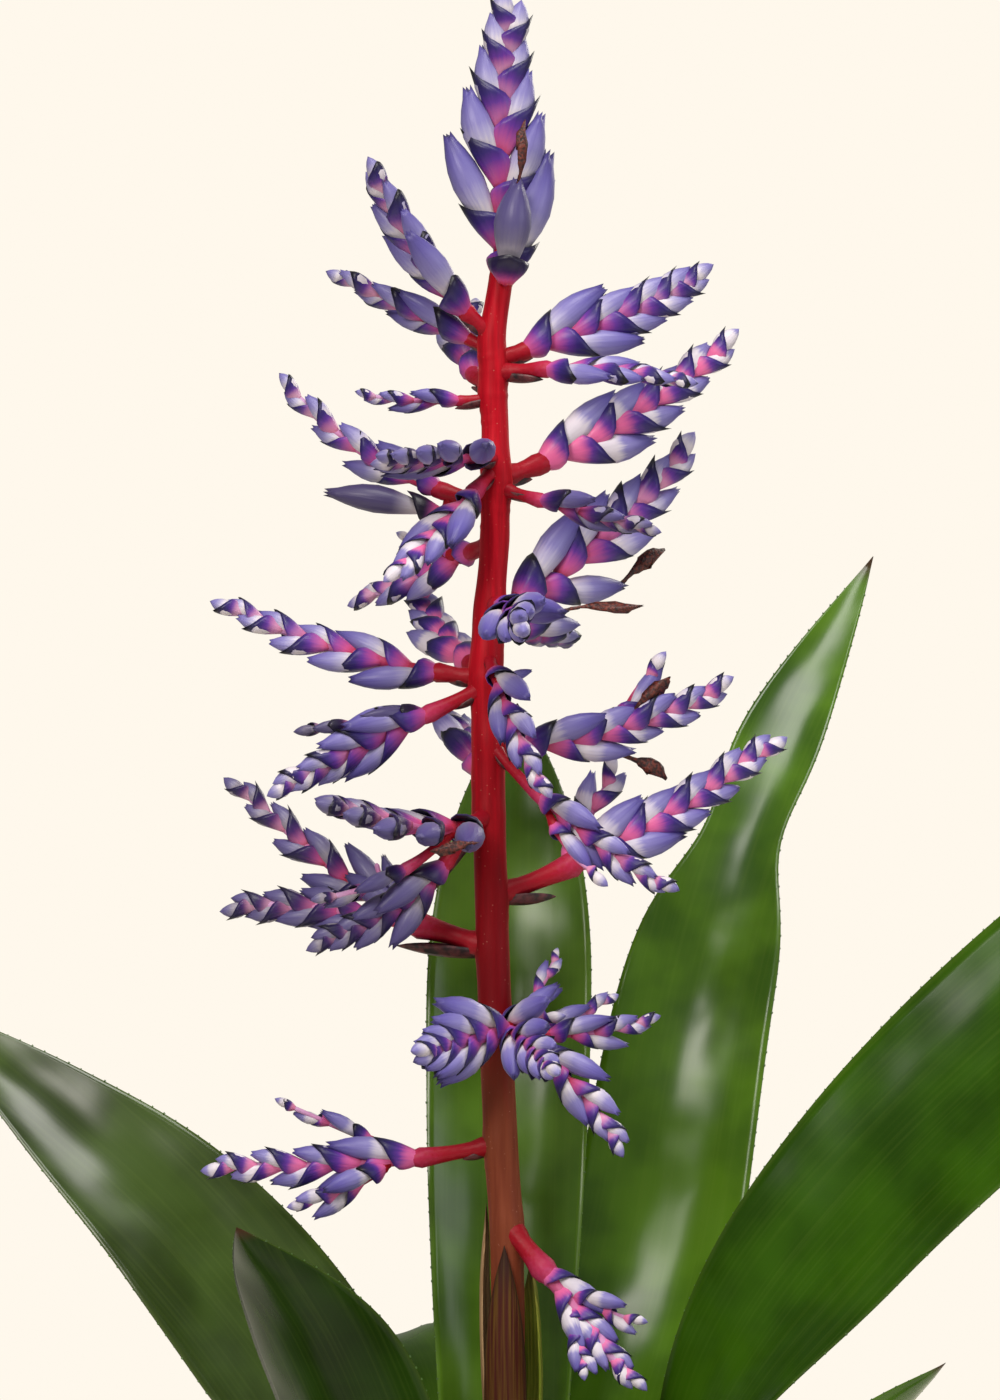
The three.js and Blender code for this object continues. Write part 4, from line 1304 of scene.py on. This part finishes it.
@dataclass
class Spike:
    """One two-ranked spike: its axis, its flowers and how they stand."""

    axis: tuple[Point, ...]
    flowers: int
    bare: float
    stalk: float
    size: float
    ranks: Point
    start: float | None = None
    spread: float = 17.0
    end_spread: float = 7.0
    cup: float = 0.46
    girth: float = 1.0
    tone: float = 0.0
    twist: float = 0.0
    curl: float = 0.3
    withered: float = 0.58
    dried: tuple[int, ...] = ()


@dataclass
class Branch:
    """A branch of the flower head: its spikes, and where the bract under it reaches."""

    name: str
    spikes: tuple[Spike, ...]
    bract_to: Point | None = None
    bract_half: float = 1.6
    tone: float = 0.0


@dataclass
class FlowerHead:
    """Grows all the branches: lengths in millimetres, turns in degrees, the rest as shares."""

    length: float = 31.0
    last: float = 0.44
    fall: float = 1.15
    crowding: float = 0.25
    half: float = 2.05
    per_length: float = 0.088
    past_end: float = 0.8
    bract_share: float = 0.76
    bract_gain: float = 0.1
    bract_wide: float = 1.08
    stalk_taper: float = 0.7
    slimmed: float = 0.45
    tip_girth: float = 0.7
    first_long: float = 0.13
    flare: float = 0.3
    root_girth: float = 3.4
    root_slope: float = 0.5
    root_reach: float = 4.0
    flare_at: float = 5.0
    flare_long: float = 2.6
    crown_from: float = 548.0
    stalk_steps: int = 26
    stalk_past: float = 0.03
    stalk_stop: float = 0.97
    stalk_end: float = 0.4
    hides_over: float = 5.0
    calyx_up: float = 0.02
    bract_down: float = 0.03
    bract_later: float = 0.08
    bud_from: float = 0.8
    corolla_up: float = 0.93
    corolla_half: tuple[float, float] = (2.6, 2.3)
    widths: tuple[float, float] = (0.95, 1.05)
    lengths: tuple[float, float] = (0.96, 1.03)
    kept_shade: float = 0.6
    branch_bract_at: float = 0.05
    branch_bract_under: float = 0.8
    branch_bract_tip_under: float = 0.75
    branch_bract_long: float = 12.0
    branch_bract_flat: float = 1.2
    sway: float = 0.05

    def build(self, branches: tuple[Branch, ...]) -> None:
        """Grows every branch as one mesh and hands it over.

        Args:
            branches: The branches, from the top of the head down each side.
        """
        shapes = OrganShapes().build()
        tree = spray_tree()
        looks = {
            Organ.BRACT: FlowerSkin(
                "aechmea_floral_bract",
                ((0.0, "#c43450"), (0.16, "#c24e8a"), (0.31, "#9c4294"), (0.45, "#5e2e90"), (0.6, "#301f6c"),
                 (0.8, "#1c1546"), (1.0, "#0f0a20")),
                dark="#08060c", dark_from=(0.8, 1.0), keel=0.75, pale="#cfa4be",
                blush="#e2689e", blush_to=(0.5, 0.22), dusk="#150d24", dusk_to=(0.05, 0.5)),
            Organ.CALYX: FlowerSkin(
                "aechmea_calyx",
                ((0.0, "#d2c8cc"), (0.3, "#d2cad2"), (0.4, "#aaa4c6"), (0.54, "#8079b4"), (0.78, "#5e559e"),
                 (1.0, "#3a3072")),
                dark="#150f28", dark_from=(0.95, 1.06), keel=0.3, pale="#d6ced4",
                blush="#d2cad4", blush_to=(0.54, 0.42), dusk="#40385e", dusk_to=(0.06, 0.42), late=0.3),
            Organ.COROLLA: DrySkin("aechmea_dried_corolla", "#24090a", "#6e2a1c"),
            Organ.BRANCH_BRACT: DrySkin("aechmea_primary_bract", "#1e0c12", "#6a3236", 3.0),
        }
        sizes: dict[str, object] = {"Stalk Finish": BranchSkin().material(), "Stalk Sides": 14,
                                    "Sway": self.sway}
        for kind, look in looks.items():
            sizes[f"{kind.name} Shapes"] = shapes.kinds[kind]
            sizes[f"{kind.name} Finish"] = look.material()
        for index, branch in enumerate(branches):
            name = branch.name.replace("branch", "flowers")
            piece = placed(name, self.sprig(branch, np.random.default_rng(SEED + index)))
            settled(piece, tree, {**sizes, "Seed": index})
            handed_over(piece, "flower", branch.name)

    def sprig(self, branch: Branch, rng: np.random.Generator) -> bpy.types.Mesh:
        """Makes a branch's plan: lines for its stalks and loose points for its organs.

        Args:
            branch: The branch.
            rng: Its own random numbers.

        Returns:
            A mesh of edges and loose points with the values that the tree reads.
        """
        rows: list[dict] = []
        edges: list[tuple[int, int]] = []
        stem = None
        for spike in branch.spikes:
            points = np.array(spike.axis, float)
            if spike.start is not None:
                points = np.vstack([bent(stem, np.array([spike.start]))[0], points])
            else:
                stem = points
            self.stalk_rows(spike, points, rows, edges)
            self.flower_rows(spike, branch.tone + spike.tone, points, rows, rng)
        if branch.name != "end_spike":
            self.bract_row(branch, stem, rows)
        mesh = bpy.data.meshes.new(branch.name)
        mesh.from_pydata([tuple(np.array(r["at"]) * MM) for r in rows], edges, [])
        for key in ("girth", "growth", "shade", "tone"):
            mark(mesh, key, np.array([r.get(key, 0.0) for r in rows], np.float32))
        for key in ("organ", "variant"):
            mark(mesh, key, np.array([r.get(key, -1) for r in rows], np.int32))
        for key in ("turn", "size"):
            mark(mesh, key, np.array([r.get(key, (0.0, 0.0, 0.0)) for r in rows], np.float32))
        return mesh

    def stalk_rows(self, spike: Spike, points: np.ndarray, rows: list, edges: list) -> None:
        """Adds the line that a spike's stalk follows, with its girth.

        Args:
            spike: The spike.
            points: The three points of its axis.
            rows: The branch's points so far, which grow here.
            edges: Its edges so far, which grow here.
        """
        last = self.last_place(spike, points)
        shares = np.linspace(0, min(last + self.stalk_past, self.stalk_stop), self.stalk_steps)
        centre, _ = bent(points, shares)
        reach = np.linalg.norm(points[2] - points[0])
        first = len(rows)
        for share, at in zip(shares, centre):
            thin = 1 - (1 - self.stalk_taper) * math.sin(math.pi * min(share / spike.bare, 1))
            past = max(0.0, (share - spike.bare) / (1 - spike.bare))
            hidden = smoothstep(share, spike.bare, spike.bare + self.hides_over / reach)
            girth = spike.stalk * thin * (1 - self.slimmed * hidden) * (1 - (1 - self.tip_girth) * past)
            if share > last:
                girth *= self.stalk_end
            if spike.start is None and points[0][2] < self.crown_from:
                far = share * reach
                girth *= 1 + self.flare * math.exp(-(((far - self.flare_at) / self.flare_long) ** 2))
                girth = min(girth, self.root_girth + self.root_slope * max(0.0, far - self.root_reach))
            rows.append({"at": at, "girth": girth * MM, "growth": share})
        edges.extend((i, i + 1) for i in range(first, len(rows) - 1))

    def last_place(self, spike: Spike, points: np.ndarray) -> float:
        """Returns how far along a spike's axis its last flower sits, so that its tip ends the spike."""
        reach = np.linalg.norm(np.diff(bent(points, np.linspace(0, 1, 200))[0], axis=0), axis=1).sum()
        return max(spike.bare, 1 - self.past_end * self.last * self.length * spike.size / reach)

    def flower_rows(self, spike: Spike, tone: float, points: np.ndarray, rows: list,
                    rng: np.random.Generator) -> None:
        """Adds the bract, the calyx and any dried corolla of each flower.

        Args:
            spike: The spike.
            tone: How dark or how pink its flowers are, from -1 to 1.
            points: The three points of its axis.
            rows: The branch's points so far, which grow here.
            rng: The branch's random numbers.
        """
        longest = self.length * spike.size
        last = self.last_place(spike, points)
        hint = np.array(spike.ranks, float)
        for index in range(spike.flowers):
            share = index / (spike.flowers - 1) if spike.flowers > 1 else 0.0
            place = spike.bare + (last - spike.bare) * share * (1 + self.crowding * (1 - share))
            (root,), (tangent,) = bent(points, np.array([place]))
            rank = square_to(hint, tangent) * (-1 if index % 2 else 1)
            rank = turned(rank[None], tangent[None], np.array([math.radians(spike.twist) * share]))[0]
            first = max(0.0, 1 - index / 2) if spike.flowers > 2 else 0.0
            spread = math.radians(spike.spread + (spike.end_spread - spike.spread) * share)
            along = tangent * math.cos(spread) + rank * math.sin(spread)
            outer = square_to(rank, along)
            length = longest * (1 - (1 - self.last) * share**self.fall) * (1 + self.first_long * first)
            half = (self.half * spike.size + self.per_length * length) * spike.girth
            shared = {"turn": frame_turn(outer, along), "tone": tone, "growth": share}
            shade = rng.random()
            wide = half * rng.uniform(*self.widths) * MM
            rows.append({
                "at": root + along * self.calyx_up * length, "organ": Organ.CALYX.value, "shade": shade,
                "variant": 0 if share > self.bud_from else int(rng.integers(1, 3)),
                "size": (wide, wide, length * rng.uniform(*self.lengths) * MM), **shared})
            wide = half * self.bract_wide * MM
            cup = min(spike.cup + self.bract_gain * index, self.bract_share + self.bract_later * share)
            shade = shade * self.kept_shade + (1 - self.kept_shade) * rng.random()
            rows.append({
                "at": root - along * self.bract_down * length, "organ": Organ.BRACT.value,
                "shade": shade, "variant": int(rng.integers(0, 2)),
                "size": (wide, wide, length * cup * MM), **shared})
            if index in spike.dried:
                way = unit(along + spike.curl * outer)
                thick, thin = self.corolla_half
                rows.append({
                    "at": root + along * self.corolla_up * length, "organ": Organ.COROLLA.value,
                    "turn": frame_turn(square_to(outer, way), way), "variant": index % 2,
                    "size": (thick * MM, thin * MM, spike.withered * length * MM)})

    def bract_row(self, branch: Branch, points: np.ndarray, rows: list) -> None:
        """Adds the narrow bract under a branch's root.

        Args:
            branch: The branch.
            points: The three points of its first spike's axis.
            rows: The branch's points so far, which grow here.
        """
        girth = branch.spikes[0].stalk
        (start, tip), (_, way) = bent(points, np.array([self.branch_bract_at, 0.0]))
        start = start - UP * self.branch_bract_under * girth
        end = tip + way * self.branch_bract_long - UP * self.branch_bract_tip_under * girth
        if branch.bract_to:
            end = np.array(branch.bract_to, float)
        along = unit(end - start)
        half = branch.bract_half
        size = (half * MM, half * self.branch_bract_flat * MM, float(np.linalg.norm(end - start)) * MM)
        rows.append({"at": start, "organ": Organ.BRANCH_BRACT.value, "variant": 0, "size": size, "shade": 0.5,
                     "turn": frame_turn(square_to(-UP, along), along)})


def frame_turn(outer: np.ndarray, along: np.ndarray) -> tuple[float, float, float]:
    """Returns the Euler turn that brings X to the outer side and Z along the organ."""
    side = np.cross(along, outer)
    return tuple(Matrix(np.stack([outer, side, along], axis=1).tolist()).to_euler("XYZ"))


# Each row below: axis, flowers, bare share, stalk, size, way of the ranks, start on the first spike
BRANCHES = (
    Branch("end_spike", tone=-0.25, spikes=(
        Spike(((0.6, 0, 549), (-1, 1, 592), (3.2, 0, 636)),
              10, 0.03, 3.2, 1.18, (1, 0.1, 0), spread=25, cup=0.36),
        Spike(((1, 9, 563), (16.4, 13, 587)), 4, 0.1, 2.4, 0.82, (1, -0.4, 0), 0.05),
        Spike(((2.6, -8.4, 546.4), (1.5, -1.6, 558.5)),
              1, 0.5, 1.2, 1.0, (0, -1, 0), 0.02, 0, cup=0.32, girth=1.32, tone=-0.45, curl=0.0,
              withered=0.6, dried=(0,)),
    )),
    Branch("branch_left_1", tone=-0.3, spikes=(
        Spike(((-2.2, 0, 534.6), (-19.9, -6, 546.2), (-40.2, -12, 587.6)),
              7, 0.22, 3, 0.92, (0.55, -0.8, 0.2)),
    )),
    Branch("branch_left_2", tone=-0.3, spikes=(
        Spike(((-2.2, 0, 529.8), (-17, 6, 537.4), (-53.2, 8, 555.2)),
              6, 0.2, 2.2, 0.74, (0.1, -0.8, 0.5), cup=0.56),
    )),
    Branch("branch_back_1", spikes=(
        Spike(((-1.8, 0, 518.6), (-15, 18, 523.2), (-7.8, 40, 548.6)), 5, 0.3, 2.8, 0.8, (1, 0, 0.3)),
    )),
    Branch("branch_left_3", tone=0.1, spikes=(
        Spike(((-1.8, 0, 515.6), (-21.5, -2, 513), (-42.5, -4, 516.4)),
              5, 0.25, 1.8, 0.48, (0, -0.8, 0.6), cup=0.68),
    )),
    Branch("branch_left_4", tone=-0.2, spikes=(
        Spike(((-1.2, 0, 484), (-36.6, 12, 489.2), (-66.7, 14, 522.2)),
              7, 0.24, 3, 0.72, (0.3, -0.5, 0.8)),
        Spike(((-16.2, 4.6, 475.2), (-26.8, 5.4, 487.9)),
              1, 0.5, 2, 1.08, (0, 0, 1), 0.2, 6, cup=0.34, girth=0.86, tone=-0.8),
    )),
    Branch("branch_front_left_1", tone=-0.4, spikes=(
        Spike(((-1.2, 0, 497.2), (-7.7, -21, 496.4), (-39.7, -26, 496)),
              9, 0.3, 2.6, 0.8, (0.1, -1, 0.15), spread=46, end_spread=34),
    )),
    Branch("branch_front_left_2", tone=1.0, spikes=(
        Spike(((-1.4, 0, 494.6), (-7.3, -13, 486.6), (-33.6, -34, 458.4)),
              6, 0.34, 3, 0.82, (1, 0, 0.4)),
    )),
    Branch("branch_back_2", tone=0.2, spikes=(
        Spike(((-2, 0, 474), (-10.7, 26, 466.6), (-46.7, 40, 454.8)),
              6, 0.26, 2.8, 0.76, (0.4, 0.3, 1)),
        Spike(((-23.2, 26, 471.4), (-29, 28, 476)), 2, 0.1, 2.2, 0.5, (0, 0.5, 1), 0.35),
    )),
    Branch("branch_back_3", tone=0.8, spikes=(
        Spike(((-3.2, 0, 434.6), (-15, 22, 434.2), (-26, 44, 461.2)), 7, 0.24, 3, 0.86, (1, -0.2, 0)),
    )),
    Branch("branch_left_5", tone=-0.15, spikes=(
        Spike(((-3.6, 0, 431.6), (-44.1, 5, 434.4), (-85.6, 6, 455.3)),
              9, 0.18, 3.2, 0.8, (0.1, -0.5, -0.85)),
    )),
    Branch("branch_left_6", tone=-0.1, spikes=(
        Spike(((-3.6, 0, 429.2), (-26.6, -10, 418.6), (-69.7, -18, 397)),
              8, 0.34, 3, 0.82, (0, -0.4, 1), cup=0.64),
        Spike(((-38.4, -12, 417.9), (-59.6, -14, 415.9)),
              4, 0.1, 1.8, 0.62, (0, -1, 0.3), 0.3, tone=-0.7),
    )),
    Branch("branch_back_4", spikes=(
        Spike(((-3.4, 0, 401), (-8.8, 12, 406), (-13.5, 28, 421.5)), 4, 0.2, 3, 0.96, (0.8, 0, -0.6)),
    )),
    Branch("branch_front_left_3", tone=-0.6, bract_to=(-27, -15, 358), bract_half=2.4, spikes=(
        Spike(((-3.2, 0, 391), (-15.9, -26, 381), (-56.6, -36, 396.9)),
              9, 0.22, 3, 0.94, (0.1, -1, -0.15), spread=44, end_spread=26, curl=-1.3,
              withered=0.45, dried=(0,)),
        Spike(((-18.8, -18, 363.9), (-58, -22, 352.6)), 8, 0.26, 2.6, 0.8, (0, -0.2, 1), 0.2),
        Spike(((-30.8, -25, 368.5), (-54, -27, 366.5)), 3, 0.4, 2, 0.56, (0, -1, 0.3), 0.28),
    )),
    Branch("branch_left_7", tone=-0.6, bract_to=(-31, 4, 352), bract_half=2.6, spikes=(
        Spike(((-2, 0, 350), (-37.6, 10, 364.2), (-83.4, 10, 362.6)), 8, 0.3, 4.2, 0.82, (0, 0.1, 1)),
        Spike(((-53, 17, 373.4), (-82, 20, 401.2)), 8, 0.1, 2.8, 0.76, (0.4, 0.1, 0.8), 0.32),
        Spike(((-37.8, 10, 371.1), (-37.8, 11, 380.2)), 1, 0.1, 1.8, 0.6, (1, 0, 0), 0.36),
    )),
    Branch("branch_left_8", tone=0.6, spikes=(
        Spike(((0.4, 0, 292.2), (-38.3, -3, 283.1), (-88.8, -4, 285.9)),
              8, 0.3, 3.2, 0.8, (0, -0.2, 1), cup=0.56),
        Spike(((-44.4, 2, 294.5), (-66.8, 4, 304.5)), 3, 0.34, 1.7, 0.48, (0.1, -0.8, 0.6), 0.32),
        Spike(((-43.5, -8, 276.9), (-62.4, -10, 275)), 4, 0.1, 1.7, 0.64, (0.4, -0.2, 1), 0.4),
    )),
    Branch("branch_right_1", tone=-0.15, spikes=(
        Spike(((-1.4, 0, 527), (29.6, 6, 536.1), (63.2, 8, 554)), 9, 0.14, 3, 0.94, (0, 0.1, 1)),
    )),
    Branch("branch_right_2", tone=0.35, bract_to=(13, -7, 521), bract_half=1.8, spikes=(
        Spike(((-1.6, 0, 523), (24.3, -13, 525.8), (57.9, -17, 519)),
              7, 0.28, 2.8, 0.7, (0.1, -0.9, -0.4), cup=0.6),
    )),
    Branch("branch_right_3", tone=0.9, spikes=(
        Spike(((-0.8, 0, 491.6), (29.9, 14, 499.9), (73.2, 20, 536.3)), 9, 0.2, 3.8, 0.98, (0, 0.1, 1)),
    )),
    Branch("branch_right_4", tone=-0.5, bract_to=(14, -9, 484.5), bract_half=1.8, spikes=(
        Spike(((-0.8, 0, 488.8), (16.6, -14, 482.5), (47.4, -19, 475)),
              6, 0.32, 2.4, 0.62, (0, -0.8, 0.6), cup=0.68),
    )),
    Branch("branch_right_5", tone=0.25, spikes=(
        Spike(((-2.2, 0, 451), (23.8, 26, 461.9), (60.9, 34, 505.9)),
              9, 0.14, 3.2, 1.1, (0.2, 0.1, 1), spread=26, cup=0.4, girth=0.94, curl=-0.5, dried=(1,)),
    )),
    Branch("branch_front_1", tone=0.3, spikes=(
        Spike(((-2.6, 0, 453.8), (5.6, -26, 450.6), (5.4, -50, 446)),
              8, 0.14, 3, 0.88, (1, 0, 0.1), spread=30, twist=110, curl=0.9, withered=0.7, dried=(0,)),
    )),
    Branch("branch_back_5", tone=0.3, spikes=(
        Spike(((-3.4, 0, 448), (11.4, 20, 446.4), (22, 44, 443.2)), 6, 0.25, 2.6, 0.8, (1, 0, 0.2)),
    )),
    Branch("branch_front_2", tone=0.3, spikes=(
        Spike(((-3.6, 0, 438.8), (-1.4, -24, 427.9), (14.1, -34, 395.6)),
              7, 0.2, 2.2, 0.7, (0.7, -0.6, 0)),
        Spike(((1.4, -16, 430.7), (8, -14, 436.8)), 1, 0.1, 1.6, 0.38, (1, 0, 0.3), 0.3),
    )),
    Branch("branch_right_6", tone=0.5, spikes=(
        Spike(((-3.8, 0, 410), (31.3, 7, 410.6), (69.8, 7, 430.4)),
              9, 0.14, 2.8, 0.84, (0, -0.35, 1), curl=0.5, dried=(1, 2)),
        Spike(((39.8, 9, 429.5), (50.4, 10, 436.6)), 2, 0.1, 2, 0.7, (1, 0, -0.6), 0.55),
    )),
    Branch("branch_right_7", tone=0.6, bract_to=(17, 3, 366), bract_half=2.4, spikes=(
        Spike(((-2.6, 0, 366), (36.5, 12, 378), (86.3, 20, 414.4)), 10, 0.3, 4, 0.88, (0, 0.1, 1)),
        Spike(((26, 18, 387), (36.1, 20, 406.5)), 4, 0.1, 2, 0.78, (1, 0, -0.4), 0.26),
    )),
    Branch("branch_right_8", tone=0.4, spikes=(
        Spike(((-3.6, 0, 413), (15.2, -22, 388.4), (51.5, -28, 368.5)),
              7, 0.36, 2.2, 0.7, (0.2, -0.4, 1)),
        Spike(((19, -24, 376.8), (30.6, -27, 373.2)), 2, 0.2, 1.6, 0.6, (1, 0, 0.4), 0.38),
    )),
    Branch("branch_low_cluster", tone=0.3, spikes=(
        Spike(((-1.4, 0, 328.8), (7, -24, 326), (16, -46, 315.5)),
              9, 0.14, 3, 0.74, (0.55, 0, 1), spread=30),
        Spike(((-9, -22, 325), (-25.4, -38, 320.6)),
              9, 0.03, 2.6, 0.84, (0.1, 0.1, 1), 0.26, spread=30),
        Spike(((9.2, -10, 331), (18.2, -10, 331)), 2, 0.1, 2, 0.6, (0, 0.2, 1), 0.2),
        Spike(((20.8, -12, 322.3), (47.8, -8, 330.4)), 5, 0.3, 1.8, 0.58, (0, -0.4, 1), 0.26),
        Spike(((11.4, -2, 334), (18, 8, 350)), 4, 0.3, 1.8, 0.42, (1, 0, -0.2), 0.14),
        Spike(((19.4, -4, 324), (34.6, 8, 337.1)), 4, 0.3, 1.8, 0.5, (0, 0.2, 1), 0.16),
        Spike(((21.7, -25, 315.6), (36.6, -28, 291.4)), 6, 0.2, 2, 0.7, (1, 0, 0.7), 0.3),
    )),
    Branch("branch_low_right", tone=0.7, spikes=(
        Spike(((2, 0, 268), (16.6, -12, 251), (42, -26, 220.4)), 7, 0.34, 4.2, 0.7, (0.7, 0.2, 0.7)),
        Spike(((30, -17, 243), (41.6, -19, 240.8)), 3, 0.2, 1.4, 0.52, (0, -0.3, 1), 0.42),
        Spike(((23, -19, 236), (25.6, -24, 226)), 4, 0.2, 1.4, 0.52, (1, 0, 0), 0.46),
    )),
)


# Stock


@dataclass
class Stock:
    """The short woody stock that the leaves spring from: radius and height of its outline."""

    outline: tuple[tuple[float, float], ...] = ((21, 0), (30, 2.5), (39, 7.5), (42.5, 12), (40, 12))
    sides: int = 72
    steps: int = 8
    roughness: float = 0.35
    flat_under: float = 0.4
    stands_out: float = 0.2

    def build(self) -> None:
        """Makes the stock, with fibres round its wall, and hands it over."""
        rng = np.random.default_rng(SEED + 90)
        outline = np.array(self.outline, float)
        place = np.linspace(0, len(outline) - 1, self.steps * (len(outline) - 1) + 1)
        radius = np.interp(place, range(len(outline)), outline[:, 0])
        height = np.interp(place, range(len(outline)), outline[:, 1])
        angle = round_angles(self.sides)
        fibres = rng.normal(size=(len(place), self.sides)) * (height > self.flat_under)[:, None]
        rough = self.roughness * fibres
        rough[-self.steps:] *= 0
        wide = radius[:, None] + np.minimum(rough, self.stands_out)
        tall = np.tile(height[:, None], (1, self.sides))
        rings = np.stack([wide * np.cos(angle), wide * np.sin(angle), tall], axis=2)
        mesh = grid_mesh("stock_wood", rings * MM, np.zeros(3), UP * height[-1] * MM)
        mesh.materials.append(DrySkin("aechmea_stock_bark", "#2f1d12", "#7d5a3a", 1.6).material())
        handed_over(placed("stock_wood", mesh), "stock", "stock")


# Studio


@dataclass
class Studio:
    """The floor, the soft lights, the backdrop's light and the camera."""

    distance: float = 1.6
    eye: float = 0.425
    seen: float = 0.42
    sensor: float = 36.0
    clip: tuple[float, float] = (0.05, 50.0)
    floor: float = 1.2
    floor_sides: int = 96
    backdrop: str = "#fff8ec"
    ambient: float = 0.27
    ambient_tint: str = "#fffaf2"
    aim_height: float = 0.38
    lamps: tuple = (("key", (-0.81, -1.67, 1.37), 0.7, 25.0, "#fff8f0"),
                    ("top", (0.12, -0.68, 1.93), 0.8, 24.0, "#fffcf6"),
                    ("fill", (1.5, -0.9, 0.8), 0.9, 7.0, "#f6f8ff"),
                    ("rim", (0.9, 1.2, 1.2), 0.8, 12.0, "#fffaf0"))

    def camera(self) -> None:
        """Sets the camera level with the middle of the flower head, as the photograph seems to be taken."""
        lens = bpy.data.cameras.new("camera")
        lens.sensor_width = self.sensor
        lens.lens = self.sensor * self.distance / self.seen
        lens.clip_start, lens.clip_end = self.clip
        camera = bpy.data.objects.new("camera", lens)
        camera.location = (0, -self.distance, self.eye)
        camera.rotation_euler = (math.pi / 2, 0, 0)
        bpy.context.scene.collection.objects.link(camera)
        bpy.context.scene.camera = camera

    def light(self, name: str, place: Point, size: float, power: float, tint: str) -> None:
        """Hangs one square soft light that faces the flower head.

        Args:
            name: What it does.
            place: Where it hangs, in metres.
            size: Its side, in metres.
            power: Its power, in watts.
            tint: Its colour.
        """
        lamp = bpy.data.lights.new(name, "AREA")
        lamp.size, lamp.energy, lamp.color = size, power, linear(tint)[:3]
        hung = bpy.data.objects.new(name, lamp)
        hung.location = place
        aim = -Vector(place)
        aim.z += self.aim_height
        hung.rotation_euler = aim.to_track_quat("-Z", "Y").to_euler()
        bpy.context.scene.collection.objects.link(hung)

    def backdrop_light(self) -> None:
        """Fills the room with cream light, and shows the backdrop brighter than it lights."""
        world = bpy.data.worlds.new("studio")
        bpy.context.scene.world = world
        world.use_nodes = True
        tree = world.node_tree
        tree.nodes.clear()
        tint = linear(self.ambient_tint)
        soft = add(tree, "ShaderNodeBackground", {"Color": tint, "Strength": self.ambient})
        seen = add(tree, "ShaderNodeBackground", {"Color": linear(self.backdrop), "Strength": 1.0})
        path = add(tree, "ShaderNodeLightPath").outputs["Is Camera Ray"]
        both = add(tree, "ShaderNodeMixShader", {0: path, 1: soft, 2: seen})
        add(tree, "ShaderNodeOutputWorld", {"Surface": both})

    def build(self) -> None:
        """Builds the whole studio."""
        bpy.context.scene.view_settings.view_transform = "Standard"
        self.camera()
        self.backdrop_light()
        for lamp in self.lamps:
            self.light(*lamp)
        angle = round_angles(self.floor_sides)
        ring = np.stack([np.cos(angle), np.sin(angle), 0 * angle], axis=1) * self.floor
        mesh = bpy.data.meshes.new("floor")
        mesh.from_pydata(ring.tolist(), [], [tuple(range(self.floor_sides))])
        mesh.materials.append(FloorPaint().material())
        placed("floor", mesh)


def main() -> None:
    """Builds the studio and the plant's sub-assemblies in order."""
    Studio().build()
    Stock().build()
    Rosette().build()
    roots = []
    for branch in BRANCHES[1:]:
        root, pull = np.array(branch.spikes[0].axis[:2], float)
        way = pull - root
        roots.append((float(root[2]), math.atan2(way[1], way[0])))
    FlowerStalk().build(roots)
    FlowerHead().build(BRANCHES)


if __name__ == "__main__":
    main()
